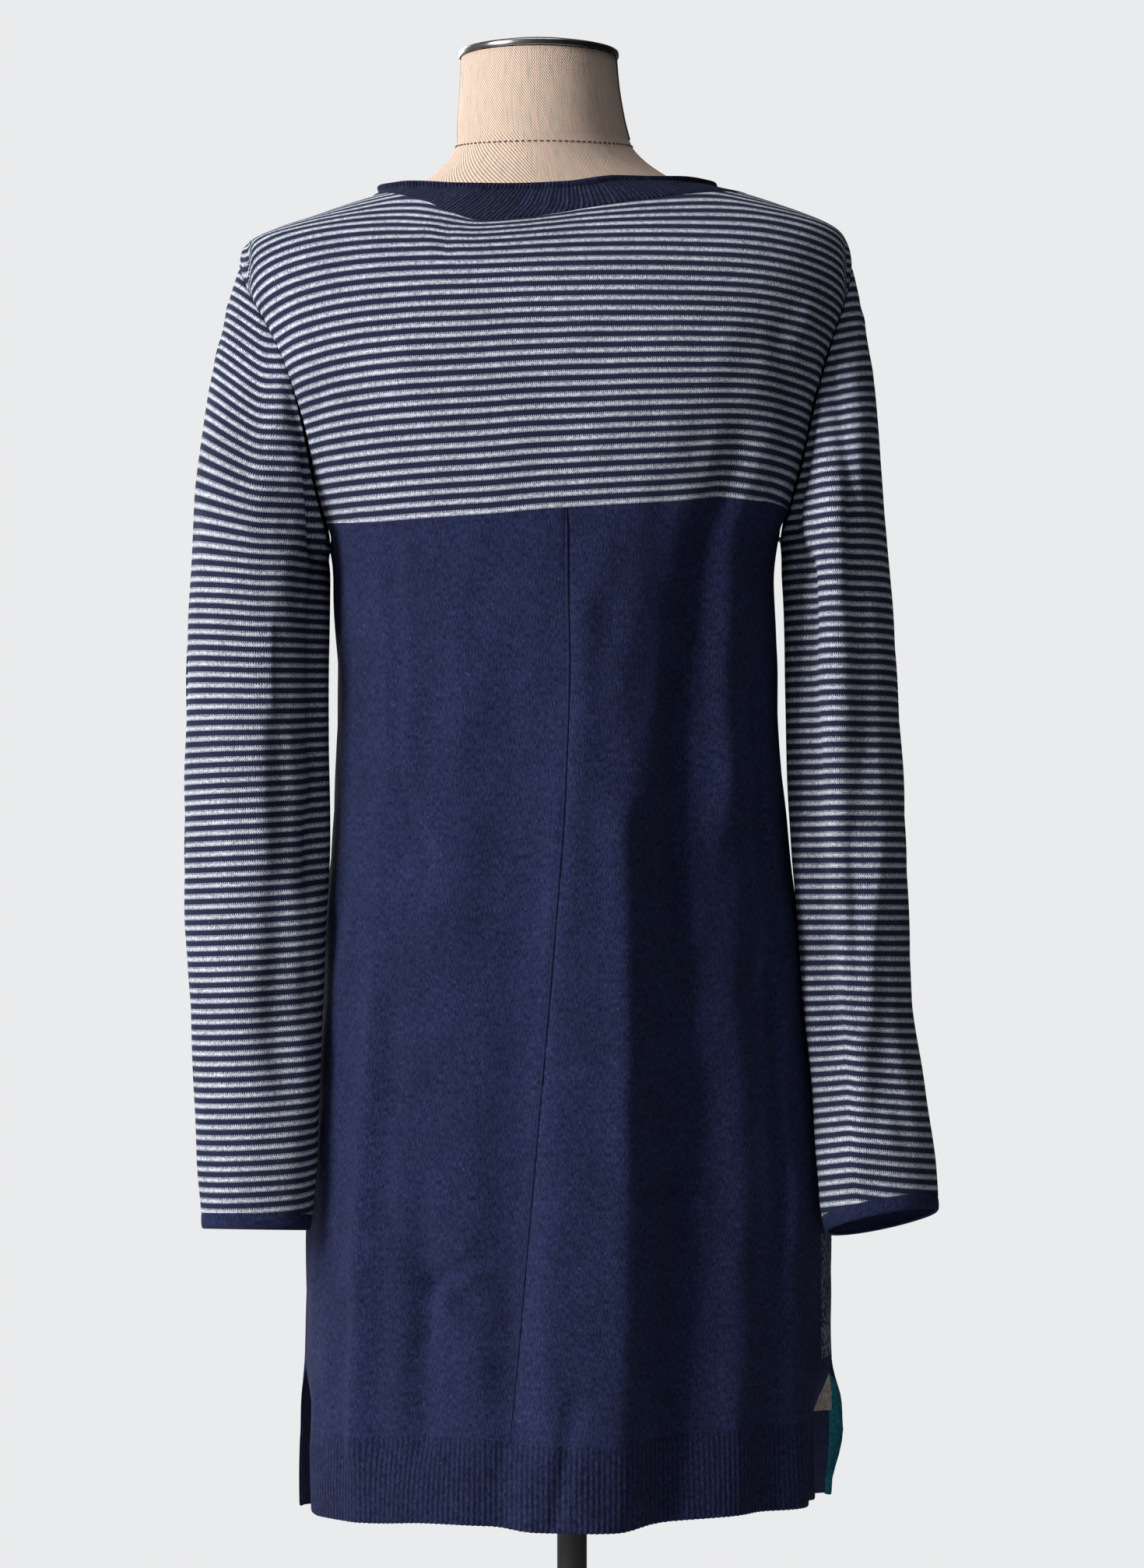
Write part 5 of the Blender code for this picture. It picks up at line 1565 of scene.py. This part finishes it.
def make_form(linen, metal, dark_thread, piping, stitches):
    angle = even_turns(96)
    rings = stepped_rings(form_ring(FORM_SIDE, angle), FORM_FOOT, FORM_BOTTOM)
    levels = np.concatenate([np.linspace(FORM_SIDE, 1.33, 44), np.linspace(1.338, FORM_SHOULDER, 16)])
    rings += [form_ring(level, angle) for level in levels]
    rings += [torso_top(angle, share) for share in np.linspace(0.12, 1.0, 16)]
    lofted("form_torso_linen", "form_torso", rings, linen, 0.62)
    rings = [neck_ring(z, angle) for z in np.linspace(FORM_SEAM + 0.0003, NECK_TOP, 20)]
    rings[0] = rings[0] + (neck_ring(FORM_SEAM, angle) - neck_ring(NECK_TOP, angle)) * 0.02
    lofted("form_neck_linen", "form_neck", rings, linen, 0.34)
    top = neck_ring(NECK_TOP, angle)
    lofted("neck_cap_metal", "neck_cap", stepped_rings(top, CAP_RINGS, NECK_TOP), metal, 0.33)
    neck_seam_stitches(dark_thread, stitches)
    for name, place in (("neck_piping_right", 171.0), ("neck_piping_left", 352.0)):
        heights = np.linspace(FORM_SEAM + 0.001, NECK_TOP - 0.0006, 24)
        line = np.array([neck_ring(z, np.array([place]))[0] for z in heights])
        out = unit((line - top.mean(0)) * np.array([1, 1, 0]))
        side = unit(np.cross(out, np.array([0, 0, 1.0])))
        rings = (line + out * 0.0002)[:, None] + thread_rings(line, out, side, 0.00075, 0.00075)
        tube(name, rings, piping)


def neck_seam_stitches(thread, stitches):
    """The stitched seam just under the neck, lower at the back."""
    angle = even_turns(360)
    dip = 0.960 - 0.075 * np.maximum(np.sin(np.radians(angle)), 0)
    line = np.array([torso_top(angle[i:i + 1], dip[i])[0] for i in range(len(angle))])
    line = line + unit((line - line.mean(0)) * np.array([1, 1, 0.3])) * 0.0003
    line = np.concatenate([line, line[:1]])
    stitch_row("neck_seam_stitches", line, stitches, thread, 0.0040, 0.0025, 0.00062)


def lathe(name, node, profile, material):
    angle = even_turns(72)
    rings = []
    for radius, height in profile:
        x, y = superellipse(angle, radius, radius)
        rings.append(np.stack([x, y, height + 0 * x], -1))
    lofted(name, node, rings, material, 0.1)


def make_stand(paint):
    heights = np.linspace(HUB_TOP + 0.0003, FORM_BOTTOM - 0.0003, 12)
    lathe("pole_painted", "pole", [(POLE_RADIUS, z) for z in heights], paint)
    lathe("stand_base_painted", "stand_base", BASE_PROFILE, paint)


def make_camera():
    data = bpy.data.cameras.new("Camera")
    data.sensor_width = 36
    data.lens = data.sensor_width / 2 / math.tan(math.radians(CAMERA_FIELD / 2))
    camera = bpy.data.objects.new("Camera", data)
    camera.location = CAMERA_PLACE
    camera.rotation_euler = (math.radians(90 + CAMERA_RISE), 0, math.pi)
    bpy.context.scene.collection.objects.link(camera)
    bpy.context.scene.camera = camera


def area_light(name, place, target, size, power, colour):
    data = bpy.data.lights.new(name, "AREA")
    data.shape = "RECTANGLE"
    data.size, data.size_y = size
    data.energy = power
    data.color = colour
    light = bpy.data.objects.new(name, data)
    light.location = place
    aim = np.array(target) - np.array(place)
    rise = math.atan2(aim[2], math.hypot(aim[0], aim[1]))
    light.rotation_euler = (math.pi / 2 + rise, 0, math.atan2(aim[1], aim[0]) - math.pi / 2)
    bpy.context.scene.collection.objects.link(light)


def make_studio():
    """Soft lights, a sky that is brighter from one side, a plain pale backdrop and the floor."""
    for light in LIGHTS:
        area_light(*light)
    world = bpy.data.worlds.new("studio")
    bpy.context.scene.world = world
    world.use_nodes = True
    maker = Nodes(world.node_tree)
    seen = world.node_tree.nodes["Background"]
    seen.inputs["Color"].default_value = BACKDROP
    direction = maker.parts(maker.add("ShaderNodeTexCoord").outputs["Generated"])
    side = maker.step(direction["X"], -0.9, 0.9, 0.015, 0.24)
    lit = maker.add("ShaderNodeBackground", {"Color": SKY, "Strength": side})
    path = maker.add("ShaderNodeLightPath")
    feed = {0: path.outputs["Is Camera Ray"], 1: lit.outputs[0], 2: seen.outputs[0]}
    choose = maker.add("ShaderNodeMixShader", feed)
    maker.put(world.node_tree.nodes["World Output"].inputs["Surface"], choose.outputs[0])

    material, maker, shader = new_material("floor", 0.8)
    shade = maker.step(maker.noise(3.0, 2.0), 0.2, 0.8, 0.78, 0.82)
    finish(maker, shader, Base_Color=maker.scaled(maker.colour((1.0, 1.0, 1.0)), shade))
    turns = np.radians(even_turns(96))
    ring = np.stack([FLOOR_RADIUS * np.cos(turns), FLOOR_RADIUS * np.sin(turns), 0 * turns - FLOOR_DROP], -1)
    mesh = bpy.data.meshes.new("floor")
    mesh.from_pydata(ring.tolist(), [], [tuple(range(len(ring)))])
    new_piece("floor", mesh, (material,))
    bpy.context.scene.view_settings.view_transform = "Standard"


make_camera()
striped = striped_material()
striped_inside = striped_inside_material()
navy_knit = plain_knit_material("navy knit")
flecked_knit = plain_knit_material("navy knit with flecked edge", True)
hem_rib = rib_material("hem rib", HEM_NAVY, RIB_PITCH)
front_rib = rib_material("front hem rib", HEM_NAVY, RIB_PITCH, teal_edge=FRONT_BLOCKS[0][1])
band_rib = rib_material("neckband rib", BAND_NAVY, BAND_PITCH, 0.55, 0.0010)
make_yokes(striped, striped_inside)
make_skirt(navy_knit, flecked_knit, front_material(), plain_knit_material("seam knit"))
make_hem_ribs(hem_rib, front_rib, rib_tree())
make_neckband(band_rib)
make_sleeves(striped, striped_inside, plain_knit_material("cuff knit"))
dark_thread = thread_material("dark thread", DARK_THREAD)
piping = thread_material("piping", PIPING)
make_form(linen_material(), metal_material(), dark_thread, piping, stitch_tree())
make_stand(black_paint_material())
make_studio()
